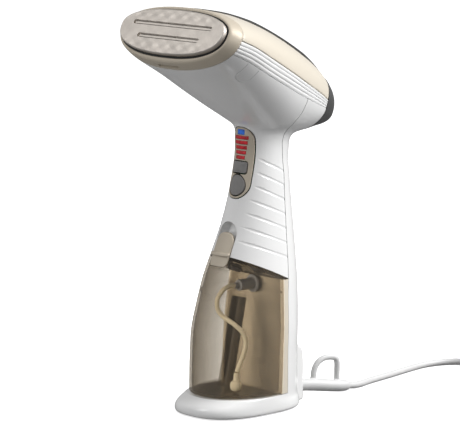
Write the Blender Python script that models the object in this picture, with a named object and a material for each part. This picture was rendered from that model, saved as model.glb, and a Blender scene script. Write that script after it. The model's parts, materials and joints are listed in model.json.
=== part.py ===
"""Handheld garment steamer: wide steam head, slim handle, detachable water tank and a broad foot.

Lengths are in millimetres until to_metres.  The working frame has x across the steamer, y towards the
cord and z up, with y = 0 under the tank; to_metres moves the finished parts so that the origin lies
on the ground under the middle of the object's box.
"""
import math

import bmesh
import bpy
from mathutils import Matrix, Vector

MM = 0.001
ORIGIN_Y = 11.28        # working-frame y of the finished origin
GROUND = -1.7           # working-frame z of the surface it stands on
GAP = 0.35              # clearance between neighbouring parts
WALL = 2.2              # thickness of the moulded shells
TANK_WALL = 2.0

# --- steam head: sections square to an axis that falls to the rear -----------------------------
HEAD_TILT = math.radians(29)
FACE_CENTRE = Vector((0, -74.6, 307.3))
AXIS = Vector((0, math.cos(HEAD_TILT), -math.sin(HEAD_TILT)))
UP = Vector((0, math.sin(HEAD_TILT), math.cos(HEAD_TILT)))
SIDE = Vector((1, 0, 0))
# distance along the axis, centre height, half width, height above, height below, roundness
HEAD = ((4, 0, 63.5, 20.4, 26, 2.3), (14, 1, 66.7, 22.8, 29, 2.2), (35, 3, 63, 27.3, 33, 2.1),
        (62, 3, 56.5, 32.3, 36, 2.1), (90, 3, 49, 34.8, 38, 2.1), (120, 3, 40, 35.3, 38, 2.1),
        (145, 4, 31, 32.7, 28, 2.1), (165, 6, 22.5, 25.8, 15, 2.0), (176, 8, 14.5, 18, 9, 2.0),
        (181, 9, 7, 11, 5, 2.0))
BEZEL_BACK = 14.6       # where the bezel meets the shells
HEEL_FRONT = 157.0      # where the heel bumper meets the shells
STRIP_HEIGHT = 2.4      # of the dark strip over the top cover
HEAD_END = 181.0

# --- handle and tank: level sections ------------------------------------------------------------
# height, centre y, half width, half depth
HANDLE = ((7, 0.5, 37.1, 46.4), (24, 0.5, 37.1, 46.4), (45, 0.8, 36.9, 46.1), (65, 1.9, 36.5, 45.6),
          (85, 4.6, 34.7, 43.4), (106, 7.6, 32.1, 40.1), (126, 11.3, 28.5, 35.6), (146, 14.8, 24.9, 31.1),
          (166, 17.2, 21.9, 27.4), (186, 18.9, 19.6, 24.5), (197, 19.5, 18.5, 23.1), (206, 20.3, 18.3, 22.9),
          (214, 21.0, 18.7, 23.5), (222, 24.0, 20.8, 26.0), (232, 26.0, 23.0, 28.5))
HANDLE_ROUND = 2.15
TANK_FLOOR = 13.0       # top of the foot, under the tank
SHELL_EDGE_Z = 124.0    # lower edge of the front shell at its front ...
SHELL_EDGE_Y = -23.0
SHELL_EDGE_SLOPE = 0.44  # ... from where it falls to the rear
SHELL_REAR_Y = 20.7     # where that edge meets the seam

# seam between the front and rear shells, from the head down, as (y, z)
SEAM = ((80, 335), (34.7, 248.7), (30.5, 236), (27.2, 229), (26.5, 221), (25.5, 212), (26.4, 200), (27, 187),
        (25.1, 154), (22.4, 118), (20.6, 104), (18.5, 88), (16.5, 50), (16, TANK_FLOOR - 0.1))
TANK_BACK = ((14.6, 104), (13.0, 88), (10.6, 50), (8.8, TANK_FLOOR))

# --- foot ---------------------------------------------------------------------------------------
FOOT_CENTRE_Y = -8.0
# height, half width, depth to the front, depth to the rear, roundness
FOOT = ((-0.9, 37.2, 48.2, 52.8, 2.65), (0.6, 38.3, 49.5, 54.0, 2.65), (4.5, 38.4, 49.5, 54.0, 2.6),
        (7.5, 38.2, 47.6, 53.8, 2.5), (10.5, 37.9, 43.2, 53.5, 2.35), (TANK_FLOOR, 37.6, 38.6, 53.2, 2.25))
BOX_REAR = 56.0         # rear face of the switch and cord box
BOX_HALF = 13.0         # its half width there, from where it widens to the front
BOX_WIDEN = 0.36
BOX_TOP = 45.5
SWITCH_CENTRE = Vector((0, 53.4, 35.2))
SWITCH_AXIS = Vector((0, 0.936, 0.35)).normalized()
SWITCH_RADIUS = 5.6
SWITCH_TILT = 7         # degrees that the rocker leans at rest, and as much the other way when it is on
REAR_SCREWS = (134, 178)  # heights of the screws in the rear of the handle

# --- steam plate --------------------------------------------------------------------------------
PLATE = (60.0, 16.4, 21.3, 2.4)          # half width, height above, height below, roundness
PLATE_DEPTH = 3.5
SLOT_HEIGHT = 3.0
SLOTS = ((3.1, 46.0), (-7.6, 36.0))      # height on the plate, half length
GASKET_BACK = 9.0
BLOCK_BACK = 20.0

# --- control panel ------------------------------------------------------------------------------
PANEL_LOW, PANEL_HIGH, PANEL_HALF = 168.5, 225.0, 12.0
BAR_HALF = 7.4
BAR_HEIGHT = 2.4
BAR_PITCH = 3.95
BAR_STEP = 1.3          # each bar is this much narrower than the one above
BAR_TOP = 216.6         # centre height of the top bar
LAMP_Z = 220.9
LAMP_WIDTH, LAMP_HEIGHT = 7.4, 3.8
MODE_Z, MODE_WIDTH, MODE_HEIGHT = 193.1, 15.6, 9.4
STEAM_Z, STEAM_WIDTH, STEAM_HEIGHT = 179.0, 16.8, 17.0
BUTTON_PROUD = 1.0
BUTTON_DEPTH = 3.4

# --- latch --------------------------------------------------------------------------------------
LATCH_HALF, LATCH_LOW, LATCH_HIGH = 9.6, 116.0, 142.3
RECESS_HALF, RECESS_HIGH, RECESS_DEPTH = 10.3, 150.6, 7.5
SPRING_LOW, SPRING_TURNS = 127.0, 4

# --- water path ---------------------------------------------------------------------------------
TOP_NORMAL = Vector((0, SHELL_EDGE_SLOPE, 1)).normalized()      # of the tank's sloping top
FILL = Vector((-13.5, 4.0, SHELL_EDGE_Z - SHELL_EDGE_SLOPE * (4.0 - SHELL_EDGE_Y) - GAP))
VALVE_Z = 98.0

# --- cord ---------------------------------------------------------------------------------------
CORD = 5.6              # cord diameter
CORD_Z = GROUND + CORD / 2
# middle line of the strain relief, with its radius at each point
RELIEF = ((0, BOX_REAR + 0.4, 8.2, 5.0), (4.0, 69.5, 7.3, 5.2), (7.8, 83, 5.6, 5.1), (10.3, 96, 3.8, 4.9),
          (10.8, 104.4, 3.0, 4.6), (10.8, 106.5, 2.8, 3.4))
LOOP_YAW = math.radians(13)
LOOP_BAR = 2.5
# hanging loop, as distance from the box along the relief, and height
LOOP = ((17.8, 8), (18.2, 14), (19.6, 20.5), (23.4, 25.6), (29, 28), (35.5, 28), (39.4, 26.3), (40.7, 22.5),
        (40.6, 15), (40.5, 6))
COIL_CENTRE = Vector((26, 293.5, GROUND))
COIL_INNER, COIL_OUTER = 3.5 * CORD - 0.3, 7.5 * CORD + 0.3
COIL_LIFT = 1.4         # the coil lies on the strap that runs under it
COIL_TOP = COIL_LIFT + 4 * CORD + 0.2
TIE_ANGLE = math.radians(150)
TIE_THICK = 1.0
PLUG_PLACE = Vector((32, -9, COIL_TOP + 7.4))   # rear end of the plug, from the coil's centre
PLUG_ANGLE = math.radians(100)
BLADE_SPREAD = 6.35
CORD_ROUTE = ((10.8, 106.9, 2.4), (10.6, 111, 1.9), (9.4, 121, CORD_Z), (4.6, 138.5, CORD_Z),
              (-0.6, 166, CORD_Z), (-7.2, 197, CORD_Z), (-10.4, 218, CORD_Z), (-8.2, 234, CORD_Z),
              (-2.4, 245.2, CORD_Z), (6.4, 251.6, CORD_Z))


# ================================================================================================
# geometry helpers
# ================================================================================================
def smooth_row(table, t):
    """Row of the table at t, on a smooth curve through its rows."""
    rows = [r for r in table]
    t = min(max(t, rows[0][0]), rows[-1][0])
    k = max(i for i in range(len(rows) - 1) if rows[i][0] <= t)
    a, b = rows[k], rows[k + 1]
    before, after = rows[max(k - 1, 0)], rows[min(k + 2, len(rows) - 1)]
    span = b[0] - a[0]
    f = (t - a[0]) / span
    out = []
    for i in range(1, len(a)):
        slope_a = (b[i] - before[i]) / (b[0] - before[0]) * span
        slope_b = (after[i] - a[i]) / (after[0] - a[0]) * span
        out.append((2 * f**3 - 3 * f**2 + 1) * a[i] + (f**3 - 2 * f**2 + f) * slope_a
                   + (3 * f**2 - 2 * f**3) * b[i] + (f**3 - f**2) * slope_b)
    return out


def super_xy(angle, width, height, roundness):
    """Point of a superellipse at an angle in degrees."""
    c, s = math.cos(math.radians(angle)), math.sin(math.radians(angle))
    power = 2 / roundness
    return (width * math.copysign(abs(c)**power, c), height * math.copysign(abs(s)**power, s))


def on_head(s, angle, out=0.0):
    """Point of the head's skin; angle 0 is its right side and 90 its top."""
    centre, half, above, below, roundness = smooth_row(HEAD, s)
    high = above if math.sin(math.radians(angle)) > 0 else below
    x, u = super_xy(angle, half + out, high + out, roundness)
    return FACE_CENTRE + AXIS * s + UP * (centre + u) + SIDE * x


def in_head(x, s, u):
    return FACE_CENTRE + SIDE * x + AXIS * s + UP * u


def on_handle(z, angle, out=0.0):
    """Point of the handle's skin; angle 0 is its right side and -90 its front."""
    centre, half, depth = smooth_row(HANDLE, z)
    x, y = super_xy(angle, half + out, depth + out, HANDLE_ROUND)
    return Vector((x, centre + y, z))


def front_point(x, z, out=0.0):
    """Point over the handle's front at a side offset x, moved outwards square to the level section."""
    centre, half, depth = smooth_row(HANDLE, z)
    share = abs(x) / half
    y = -depth * (1 - share**HANDLE_ROUND)**(1 / HANDLE_ROUND)
    power = HANDLE_ROUND - 1
    outward = Vector((math.copysign(share**power / half, x), -(abs(y) / depth)**power / depth, 0)).normalized()
    return Vector((x, centre + y, z)) + outward * out


def plate_ring(s, grow, count):
    width, above, below, roundness = PLATE
    ring = []
    for i in range(count):
        angle = 360 * i / count
        high = above if angle < 180 else below
        x, u = super_xy(angle, width + grow, high + grow, roundness)
        ring.append(in_head(x, s, u))
    return ring


def head_ring(s, out=0.0, count=36):
    return [on_head(s, 360 * i / count, out) for i in range(count)]


def handle_ring(z, out=0.0, count=32):
    return [on_handle(z, 360 * i / count, out) for i in range(count)]


def circle(centre, radius, count, across=Vector((1, 0, 0)), along=Vector((0, 1, 0))):
    turn = [math.tau * i / count for i in range(count)]
    return [Vector(centre) + across * radius * math.cos(a) + along * radius * math.sin(a) for a in turn]


def rounded_outline(width, height, radius, count=4):
    """Closed outline of a rectangle with round corners, as (across, up) pairs."""
    points = []
    for quarter, (sx, sy) in enumerate(((1, 1), (-1, 1), (-1, -1), (1, -1))):
        for i in range(count + 1):
            a = math.radians(90 * (quarter + i / count))
            points.append((sx * (width / 2 - radius) + radius * math.cos(a),
                           sy * (height / 2 - radius) + radius * math.sin(a)))
    return points


def smooth_curve(points, step):
    """Evenly spaced points on a smooth curve through the given ones."""
    points = [Vector(p) for p in points]
    fine = []
    for k in range(len(points) - 1):
        a, b = points[k], points[k + 1]
        before, after = points[max(k - 1, 0)], points[min(k + 2, len(points) - 1)]
        for i in range(16):
            f = i / 16
            fine.append((2 * f**3 - 3 * f**2 + 1) * a + (f**3 - 2 * f**2 + f) * (b - before) / 2
                        + (3 * f**2 - 2 * f**3) * b + (f**3 - f**2) * (after - a) / 2)
    fine.append(points[-1])
    lengths = [0.0]
    for a, b in zip(fine, fine[1:]):
        lengths.append(lengths[-1] + (b - a).length)
    count = max(2, round(lengths[-1] / step))
    out, k = [], 0
    for i in range(count + 1):
        want = lengths[-1] * i / count
        while k < len(fine) - 2 and lengths[k + 1] < want:
            k += 1
        share = (want - lengths[k]) / max(lengths[k + 1] - lengths[k], 1e-9)
        out.append(fine[k].lerp(fine[k + 1], min(share, 1.0)))
    return out


# ================================================================================================
# objects and materials
# ================================================================================================
def material(name, colour, roughness, metallic=0.0, transmission=0.0):
    mat = bpy.data.materials.new(name)
    mat.use_nodes = True
    shader = mat.node_tree.nodes["Principled BSDF"]
    shader.inputs["Base Color"].default_value = (*colour, 1)
    shader.inputs["Roughness"].default_value = roughness
    shader.inputs["Metallic"].default_value = metallic
    shader.inputs["Transmission Weight"].default_value = transmission
    return mat


def to_metres(p):
    """Finished place, in metres, of a point of the working frame."""
    return (p[0] * MM, (p[1] - ORIGIN_Y) * MM, (p[2] - GROUND) * MM)


def mesh_object(name, points, faces, mat):
    """Closed mesh from working-frame points, with its faces turned outwards."""
    mesh = bpy.data.meshes.new(name)
    mesh.from_pydata([to_metres(p) for p in points], [], faces)
    bm = bmesh.new()
    bm.from_mesh(mesh)
    bmesh.ops.recalc_face_normals(bm, faces=bm.faces)
    bm.to_mesh(mesh)
    bm.free()
    mesh.materials.append(mat)
    mesh.shade_smooth()
    mesh.set_sharp_from_angle(angle=math.radians(35))
    obj = bpy.data.objects.new(name, mesh)
    bpy.context.scene.collection.objects.link(obj)
    return obj


def stack(name, rings, mat, closed=False):
    """Body whose skin runs through the rings in turn, closed end to end or by a cap at each end."""
    count = len(rings[0])
    points = [p for ring in rings for p in ring]
    faces = []
    pairs = len(rings) if closed else len(rings) - 1
    for r in range(pairs):
        a, b = r * count, (r + 1) % len(rings) * count
        for i in range(count):
            j = (i + 1) % count
            faces.append((a + i, a + j, b + j, b + i))
    if not closed:
        faces.append(tuple(range(count)))
        faces.append(tuple((len(rings) - 1) * count + i for i in range(count)))
    return mesh_object(name, points, faces, mat)


def slab(name, outer, inner, mat):
    """Body between two grids of points with the same rows and columns."""
    rows, cols = len(outer), len(outer[0])
    points = [p for row in outer for p in row] + [p for row in inner for p in row]
    lower = rows * cols
    faces = []
    for r in range(rows - 1):
        for c in range(cols - 1):
            a, b = r * cols + c, (r + 1) * cols + c
            faces.append((a, a + 1, b + 1, b))
            faces.append((lower + a, lower + b, lower + b + 1, lower + a + 1))
    edge = ([c for c in range(cols)] + [r * cols + cols - 1 for r in range(1, rows)]
            + [(rows - 1) * cols + c for c in range(cols - 2, -1, -1)]
            + [r * cols for r in range(rows - 2, 0, -1)])
    for i, a in enumerate(edge):
        b = edge[(i + 1) % len(edge)]
        faces.append((a, b, lower + b, lower + a))
    return mesh_object(name, points, faces, mat)


def prism(name, outline, origin, across, up, depth, mat):
    """Outline in the across-up plane at origin, drawn out along depth."""
    origin, depth = Vector(origin), Vector(depth)
    near = [origin + across * a + up * b for a, b in outline]
    return stack(name, [near, [p + depth for p in near]], mat)


def side_prism(name, outline, half, mat):
    """Outline of (y, z) points drawn out across the steamer."""
    rings = [[Vector((x, y, z)) for y, z in outline] for x in (-half, half)]
    return stack(name, rings, mat)


def turned(name, profile, origin, axis, across, mat, count=24):
    """Solid of revolution: profile of (distance along the axis, radius)."""
    origin, axis = Vector(origin), Vector(axis)
    other = axis.cross(across)
    rings = [circle(origin + axis * d, r, count, across, other) for d, r in profile]
    return stack(name, rings, mat)


def rod(name, points, radius, mat, sides=8):
    """Round bar along a list of points, with flat ends."""
    points = [Vector(p) for p in points]
    rings = []
    across = None
    for i, p in enumerate(points):
        ahead = points[min(i + 1, len(points) - 1)] - points[max(i - 1, 0)]
        ahead.normalize()
        if across is None:
            across = ahead.orthogonal().normalized()
        across = (across - ahead * across.dot(ahead)).normalized()
        rings.append(circle(p, radius, sides, across, ahead.cross(across)))
    return stack(name, rings, mat)


def combine(obj, other, operation):
    """Boolean of obj with other, which is used up."""
    modifier = obj.modifiers.new("cut", "BOOLEAN")
    modifier.operation = operation
    modifier.object = other
    modifier.solver = "EXACT"
    bpy.context.view_layer.update()
    graph = bpy.context.evaluated_depsgraph_get()
    mesh = bpy.data.meshes.new_from_object(obj.evaluated_get(graph))
    obj.modifiers.clear()
    bm = bmesh.new()
    bm.from_mesh(mesh)
    bmesh.ops.dissolve_degenerate(bm, edges=bm.edges, dist=1e-7)
    bm.to_mesh(mesh)
    bm.free()
    obj.data = mesh
    bpy.data.objects.remove(other)
    return obj


def add(obj, other):
    return combine(obj, other, "UNION")


def cut(obj, other):
    return combine(obj, other, "DIFFERENCE")


def keep(obj, other):
    return combine(obj, other, "INTERSECT")


# ================================================================================================
# shells
# ================================================================================================
HEAD_STEPS = (24, 42, 62, 84, 106, 124, 140, 150)
HANDLE_STEPS = (10, 36, 62, 85, 106, 126, 148, 172, 192, 206, 214, 222, 232)


def cover_edge(s):
    """Angle of the top cover's lower edge on the head."""
    return 0.6 + 0.11 * (s - 13)


def trim_edge(s):
    """Angle of the rib trim's lower edge, where the lower shells begin."""
    return -21.0 + 0.16 * (s - 15)


def strip_edge(s):
    """Angle of the near edge of the strip along the top of the head."""
    return 77.5 - 0.025 * (s - 15)


def shell_edge(y):
    """Height of the front shell's lower edge, which falls to the rear."""
    return SHELL_EDGE_Z - SHELL_EDGE_SLOPE * (y - SHELL_EDGE_Y)


def head_solid(name, out, start, end, mat):
    steps = [start] + [s for s in HEAD_STEPS if start < s < end] + [end]
    return stack(name, [head_ring(s, out) for s in steps], mat)


def handle_solid(name, out, mat, low=HANDLE_STEPS[0], high=HANDLE_STEPS[-1]):
    steps = [low] + [z for z in HANDLE_STEPS if low < z < high] + [high]
    return stack(name, [handle_ring(z, out) for z in steps], mat)


def foot_solid(name, inset, drop, mat, count=32):
    """Foot, or with an inset its hollow, whose rear half is longer than its front."""
    rings = []
    for z, half, front, rear, roundness in FOOT:
        ring = []
        for i in range(count):
            angle = 360 * i / count
            depth = rear if angle < 180 else front
            x, y = super_xy(angle, half - inset, depth - inset, roundness)
            ring.append(Vector((x, FOOT_CENTRE_Y + y, z - drop)))
        rings.append(ring)
    return stack(name, rings, mat)


def box_solid(name, inset, mat):
    """Box on the rear of the foot, with a sloping face for the switch and an upright one for the cord."""
    low = GROUND + 0.8 if inset == 0 else GROUND - 4
    rear = BOX_REAR - inset
    outline = [(24, low), (rear, low), (rear, 28.3 - inset * 0.3), (50.9 - inset, 42.2 - inset * 0.4),
               (46.5 - inset * 0.6, BOX_TOP - inset), (24, BOX_TOP - inset)]
    box = side_prism(name, outline, 40, mat)
    near, far, corner = 20, BOX_REAR + 1, 52.5
    half = [BOX_HALF - inset + BOX_WIDEN * (BOX_REAR - y) for y in (near, corner)]
    right = [(half[0], near), (half[1], corner), (half[1] - 2.2, far - 2.4), (half[1] - 4.5, far)]
    plan = right + [(-x, y) for x, y in reversed(right)]
    return keep(box, stack("plan", [[Vector((x, y, z)) for x, y in plan] for z in (-10, 60)], mat))


def crown_cutter(name, edge, spare, mat):
    """Everything of the head's skin above an edge line."""
    steps = (8, 23, 41, 61, 83, 105, 123, 139, 149, 163)
    grids = []
    for out in (6, -9):
        grids.append([[on_head(s, low + (180 - 2 * low) * i / 18, out) for i in range(19)]
                      for s in steps for low in (edge(s) + spare,)])
    return slab(name, grids[0], grids[1], mat)


def seam_outline(shift, side):
    """Region in front of (side -1) or behind (side 1) the seam, moved by shift."""
    line = [(y + shift, z) for y, z in SEAM]
    if side < 0:
        low, far = SHELL_REAR_Y + shift, -150
        clipped = [p for p in line if p[1] > shell_edge(low)]
        return clipped + [(low, shell_edge(low)), (far, shell_edge(far)), (far, 335)]
    return line + [(-150, TANK_FLOOR - 0.1), (-150, -20), (220, -20), (220, 335)]


def front_patch(name, outline_half, low, high, outer, inner, mat, round_top=0.0, round_low=0.0,
                rows=10, cols=8):
    """Slab lying on the handle's front, with its corners rounded by shrinking its end rows."""
    def half_at(z):
        half = outline_half
        for radius, distance in ((round_top, high - z), (round_low, z - low)):
            if radius and distance < radius:
                half = outline_half - radius + math.sqrt(max(radius**2 - (radius - distance)**2, 0))
        return max(half, 0.8)

    levels = []
    for i in range(rows + 1):
        levels.append(low + (high - low) * (0.5 - 0.5 * math.cos(math.pi * i / rows)))
    grids = []
    for out in (outer, inner):
        grids.append([[front_point(half_at(z) * (2 * c / cols - 1), z, out) for c in range(cols + 1)]
                      for z in levels])
    return slab(name, grids[0], grids[1], mat)


def make_shells(mats):
    """Front shell and rear shell with its foot, cut from one common skin."""
    white = mats["white_plastic"]
    body = head_solid("rear_shell", 0, BEZEL_BACK + GAP, HEEL_FRONT, white)
    add(body, handle_solid("handle", 0, white))
    add(body, box_solid("box", 0, white))
    add(body, foot_solid("foot", 0, 0, white))
    spine = handle_solid("spine", -WALL, white, low=7)
    keep(spine, side_prism("spine_side", [(16 - 4, -20), (16 - 4, 100), (-150, 116), (-150, 400), (220, 400),
                                          (220, -20)], 120, white))
    cut(body, head_solid("head_hollow", -WALL, 5, HEEL_FRONT + 6, white))
    cut(body, spine)
    cut(body, box_solid("box_hollow", WALL, white))
    cut(body, foot_solid("foot_hollow", WALL, WALL, white))
    cut(body, crown_cutter("crown", trim_edge, 0, white))
    front = body.copy()
    front.data = body.data.copy()
    front.name = "front_shell"
    bpy.context.scene.collection.objects.link(front)
    keep(body, side_prism("rear_side", seam_outline(GAP / 2, 1), 150, white))
    keep(front, side_prism("front_side", seam_outline(-GAP / 2, -1), 150, white))

    tray_low, tray_high = LATCH_LOW - 8, RECESS_HIGH + 1.8
    tray = front_patch("tray", RECESS_HALF + 1.8, tray_low, tray_high, -0.6, -RECESS_DEPTH - 1.6, white,
                       round_top=RECESS_HALF + 1.8)
    keep(tray, side_prism("tray_side", seam_outline(-GAP / 2, -1), 150, white))
    add(front, tray)
    cut(front, front_patch("recess", RECESS_HALF, tray_low - 6, RECESS_HIGH, 6, -RECESS_DEPTH, white,
                           round_top=RECESS_HALF))
    cut(front, panel_slab("panel_hole", GAP, 5, -8, white))
    cut(body, turned("switch_hole", ((-9, SWITCH_RADIUS + 1.3 + GAP), (9, SWITCH_RADIUS + 1.3 + GAP)),
                     SWITCH_CENTRE, SWITCH_AXIS, SIDE, white))
    cut(body, turned("cord_hole", ((-9, 4.0), (6, 4.0)), (0, BOX_REAR, RELIEF[0][2]), (0, 1, 0), SIDE, white))
    for z in REAR_SCREWS:
        y = on_handle(z, 90).y
        cut(body, turned("screw_hole", ((-9, 3.4), (5, 3.4)), (0, y, z), (0, 1, 0), SIDE, white, 16))
    return front, body


def make_head_trim(mats):
    """Top cover, its dark ridge strip, the ribbed trims under it and the heel bumper."""
    steps = (BEZEL_BACK + GAP, *HEAD_STEPS, HEEL_FRONT - GAP)
    spare = 0.35
    grids = []
    for out in (0, -WALL):
        grids.append([[on_head(s, low + (180 - 2 * low) * i / 18, out) for i in range(19)]
                      for s in steps for low in (cover_edge(s) + spare,)])
    slab("top_cover", grids[0], grids[1], mats["cream_plastic"])
    for name, mirror in (("rib_trim_right", False), ("rib_trim_left", True)):
        grids = []
        for out in (0, -WALL):
            grid = []
            for s in steps:
                low, high = trim_edge(s) + 0.55, cover_edge(s) - spare
                angles = [low + (high - low) * i / 2 for i in range(3)]
                grid.append([on_head(s, 180 - a if mirror else a, out) for a in angles])
            grids.append(grid)
        slab(name, grids[0], grids[1], mats["white_plastic"])
    strip = []
    for out in (STRIP_HEIGHT, GAP):
        strip.append([[on_head(s, low + (180 - 2 * low) * i / 6, out) for i in range(7)]
                      for s in steps for low in (strip_edge(s),)])
    slab("ridge_strip", strip[0], strip[1], mats["dark_grey_plastic"])
    rear_steps = (HEEL_FRONT + GAP, 164, 170, 175, 178.5, HEAD_END)
    hollow = [head_ring(s, -2.6) for s in (174, 168, HEEL_FRONT + GAP)]
    stack("heel_bumper", hollow + [head_ring(s, 0.4) for s in rear_steps], mats["dark_grey_plastic"])


def make_face(mats):
    """Bezel, steam plate with two slots, gasket and the heating block behind them."""
    count = 40
    outer = [head_ring(s, g, count) for s, g in ((4.8, -1.5), (4.0, -0.9), (4.6, -0.2), (8.5, 0),
                                                 (BEZEL_BACK, 0))]
    inner = [plate_ring(s, g, count) for s, g in ((BEZEL_BACK, 1.8), (6.0, 1.8))]
    stack("nozzle_bezel", outer + inner, mats["champagne_plastic"], closed=True)
    plate = stack("steam_plate", [plate_ring(0, -1.4, count), plate_ring(0.5, -0.3, count),
                                  plate_ring(1.2, 0, count), plate_ring(PLATE_DEPTH, 0, count)],
                  mats["plate_metal"])
    for u, half in SLOTS:
        outline = rounded_outline(2 * half, SLOT_HEIGHT, SLOT_HEIGHT / 2 - 0.05, 3)
        cut(plate, prism("slot", outline, in_head(0, -3, u), SIDE, UP, AXIS * 12, mats["plate_metal"]))
    gasket = [plate_ring(s, g, count) for s, g in ((PLATE_DEPTH + GAP, 1.3), (GASKET_BACK, 1.3),
                                                   (GASKET_BACK, -3.6), (PLATE_DEPTH + GAP, -3.6))]
    stack("plate_gasket", gasket, mats["black_rubber"], closed=True)
    block = [plate_ring(s, g, 32) for s, g in ((9, -9), (PLATE_DEPTH + GAP, -8), (PLATE_DEPTH + GAP, -4),
                                               (BLOCK_BACK, -5))]
    stack("heating_block", block, mats["cast_aluminium"])
    element = [in_head(-44, 31, -6.5), in_head(-43, 25, -6.5), in_head(-38, 24, -6.5), in_head(0, 24, -7),
               in_head(36, 24, -6.5), in_head(43, 24, 0), in_head(36, 24, 6.5), in_head(0, 24, 7),
               in_head(-30, 24, 6.5), in_head(-35, 25, 6.5), in_head(-36, 31, 6.5)]
    rod("heating_element", smooth_curve(element, 7), 3.0, mats["steel"])
    turned("thermostat", ((0, 7.5), (1.2, 7.5), (1.2, 5.5), (6.5, 5.5)), in_head(0, 27.6, 0),
           AXIS, SIDE, mats["steel"], 20)
    turned("thermal_fuse", ((-7, 1.0), (-5.5, 2.0), (5.5, 2.0), (7, 1.0)), in_head(0, BLOCK_BACK + 2.5, 0),
           SIDE, UP, mats["cream_plastic"], 10)


def panel_slab(name, grow, outer, inner, mat):
    low, high = PANEL_LOW - grow, PANEL_HIGH + grow
    return front_patch(name, PANEL_HALF + grow, low, high, outer, inner, mat, round_top=10.5, round_low=11,
                       rows=10, cols=6)


def egg_outline(width, height, count=20):
    """Oval that is a little narrower at its top."""
    points = []
    for i in range(count):
        a = math.tau * i / count
        half = width / 2 * (1 - 0.07 * math.sin(a))
        points.append((half * math.cos(a), height / 2 * math.sin(a)))
    return points


def press_direction(z):
    """Unit vector into the handle's front at a height, and the one up along it."""
    up = (front_point(0, z + 6) - front_point(0, z - 6)).normalized()
    return SIDE.cross(up) * -1, up


def make_panel(mats):
    """Panel with its windows and buttons, and the board with two switches behind it."""
    panel = panel_slab("display_panel", -GAP, 0.3, -2.0, mats["champagne_plastic"])
    windows = [("ready_lamp", LAMP_Z, LAMP_WIDTH, LAMP_HEIGHT, "blue_lens")]
    for i in range(5):
        windows.append((f"level_bar_{i + 1}", BAR_TOP - BAR_PITCH * i, 2 * BAR_HALF - i * BAR_STEP, BAR_HEIGHT,
                        "red_lens"))
    for name, z, width, height, lens in windows:
        half = width / 2
        cut(panel, front_patch("hole", half + 0.3, z - height / 2 - 0.3, z + height / 2 + 0.3, 3, -5,
                               mats["red_lens"], rows=2, cols=4))
        front_patch(name, half, z - height / 2, z + height / 2, 0.35, -1.9, mats[lens], rows=2, cols=4)
    buttons = (("mode_button", MODE_Z, rounded_outline(MODE_WIDTH, MODE_HEIGHT, 1.8),
                rounded_outline(MODE_WIDTH + 0.7, MODE_HEIGHT + 0.7, 2.1)),
               ("steam_button", STEAM_Z, egg_outline(STEAM_WIDTH, STEAM_HEIGHT),
                egg_outline(STEAM_WIDTH + 0.7, STEAM_HEIGHT + 0.7)))
    for name, z, outline, hole in buttons:
        into, up = press_direction(z)
        start = front_point(0, z) - into * 4
        button = prism(name, outline, start, SIDE, up, into * (4 + BUTTON_DEPTH), mats["grey_plastic"])
        keep(button, handle_solid("limit", BUTTON_PROUD, mats["grey_plastic"], 150, 222))
        cut(panel, prism("hole", hole, start, SIDE, up, into * 14, mats["grey_plastic"]))
        seat = front_point(0, z) + into * (BUTTON_DEPTH + 1.2)
        prism(name.replace("button", "tact_switch"), rounded_outline(6, 6, 0.8, 2), seat, SIDE, up,
              into * 2.4, mats["black_plastic"])
    into, up = press_direction(190)
    middle = front_point(0, 190) + into * 8.4
    prism("control_board", rounded_outline(15, 50, 1, 2), middle, SIDE, up, into * 1.6, mats["board_green"])


# ================================================================================================
# tank, latch and water path
# ================================================================================================
def tank_outline(inset):
    """Side view of the tank's block: flat back, sloping top and level floor."""
    back = [(y - inset, z) for y, z in TANK_BACK]
    low = TANK_FLOOR + GAP + inset
    back[-1] = (back[-1][0], low)
    top_rear = back[0][0]
    back[0] = (top_rear, shell_edge(top_rear) - GAP - inset * 1.1)
    far = -150
    return back + [(far, low), (far, shell_edge(far) - GAP - inset * 1.1)]


def latch_pocket(name, half, low, depth, mat):
    return front_patch(name, half, low, 160, 8, depth, mat)


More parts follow.
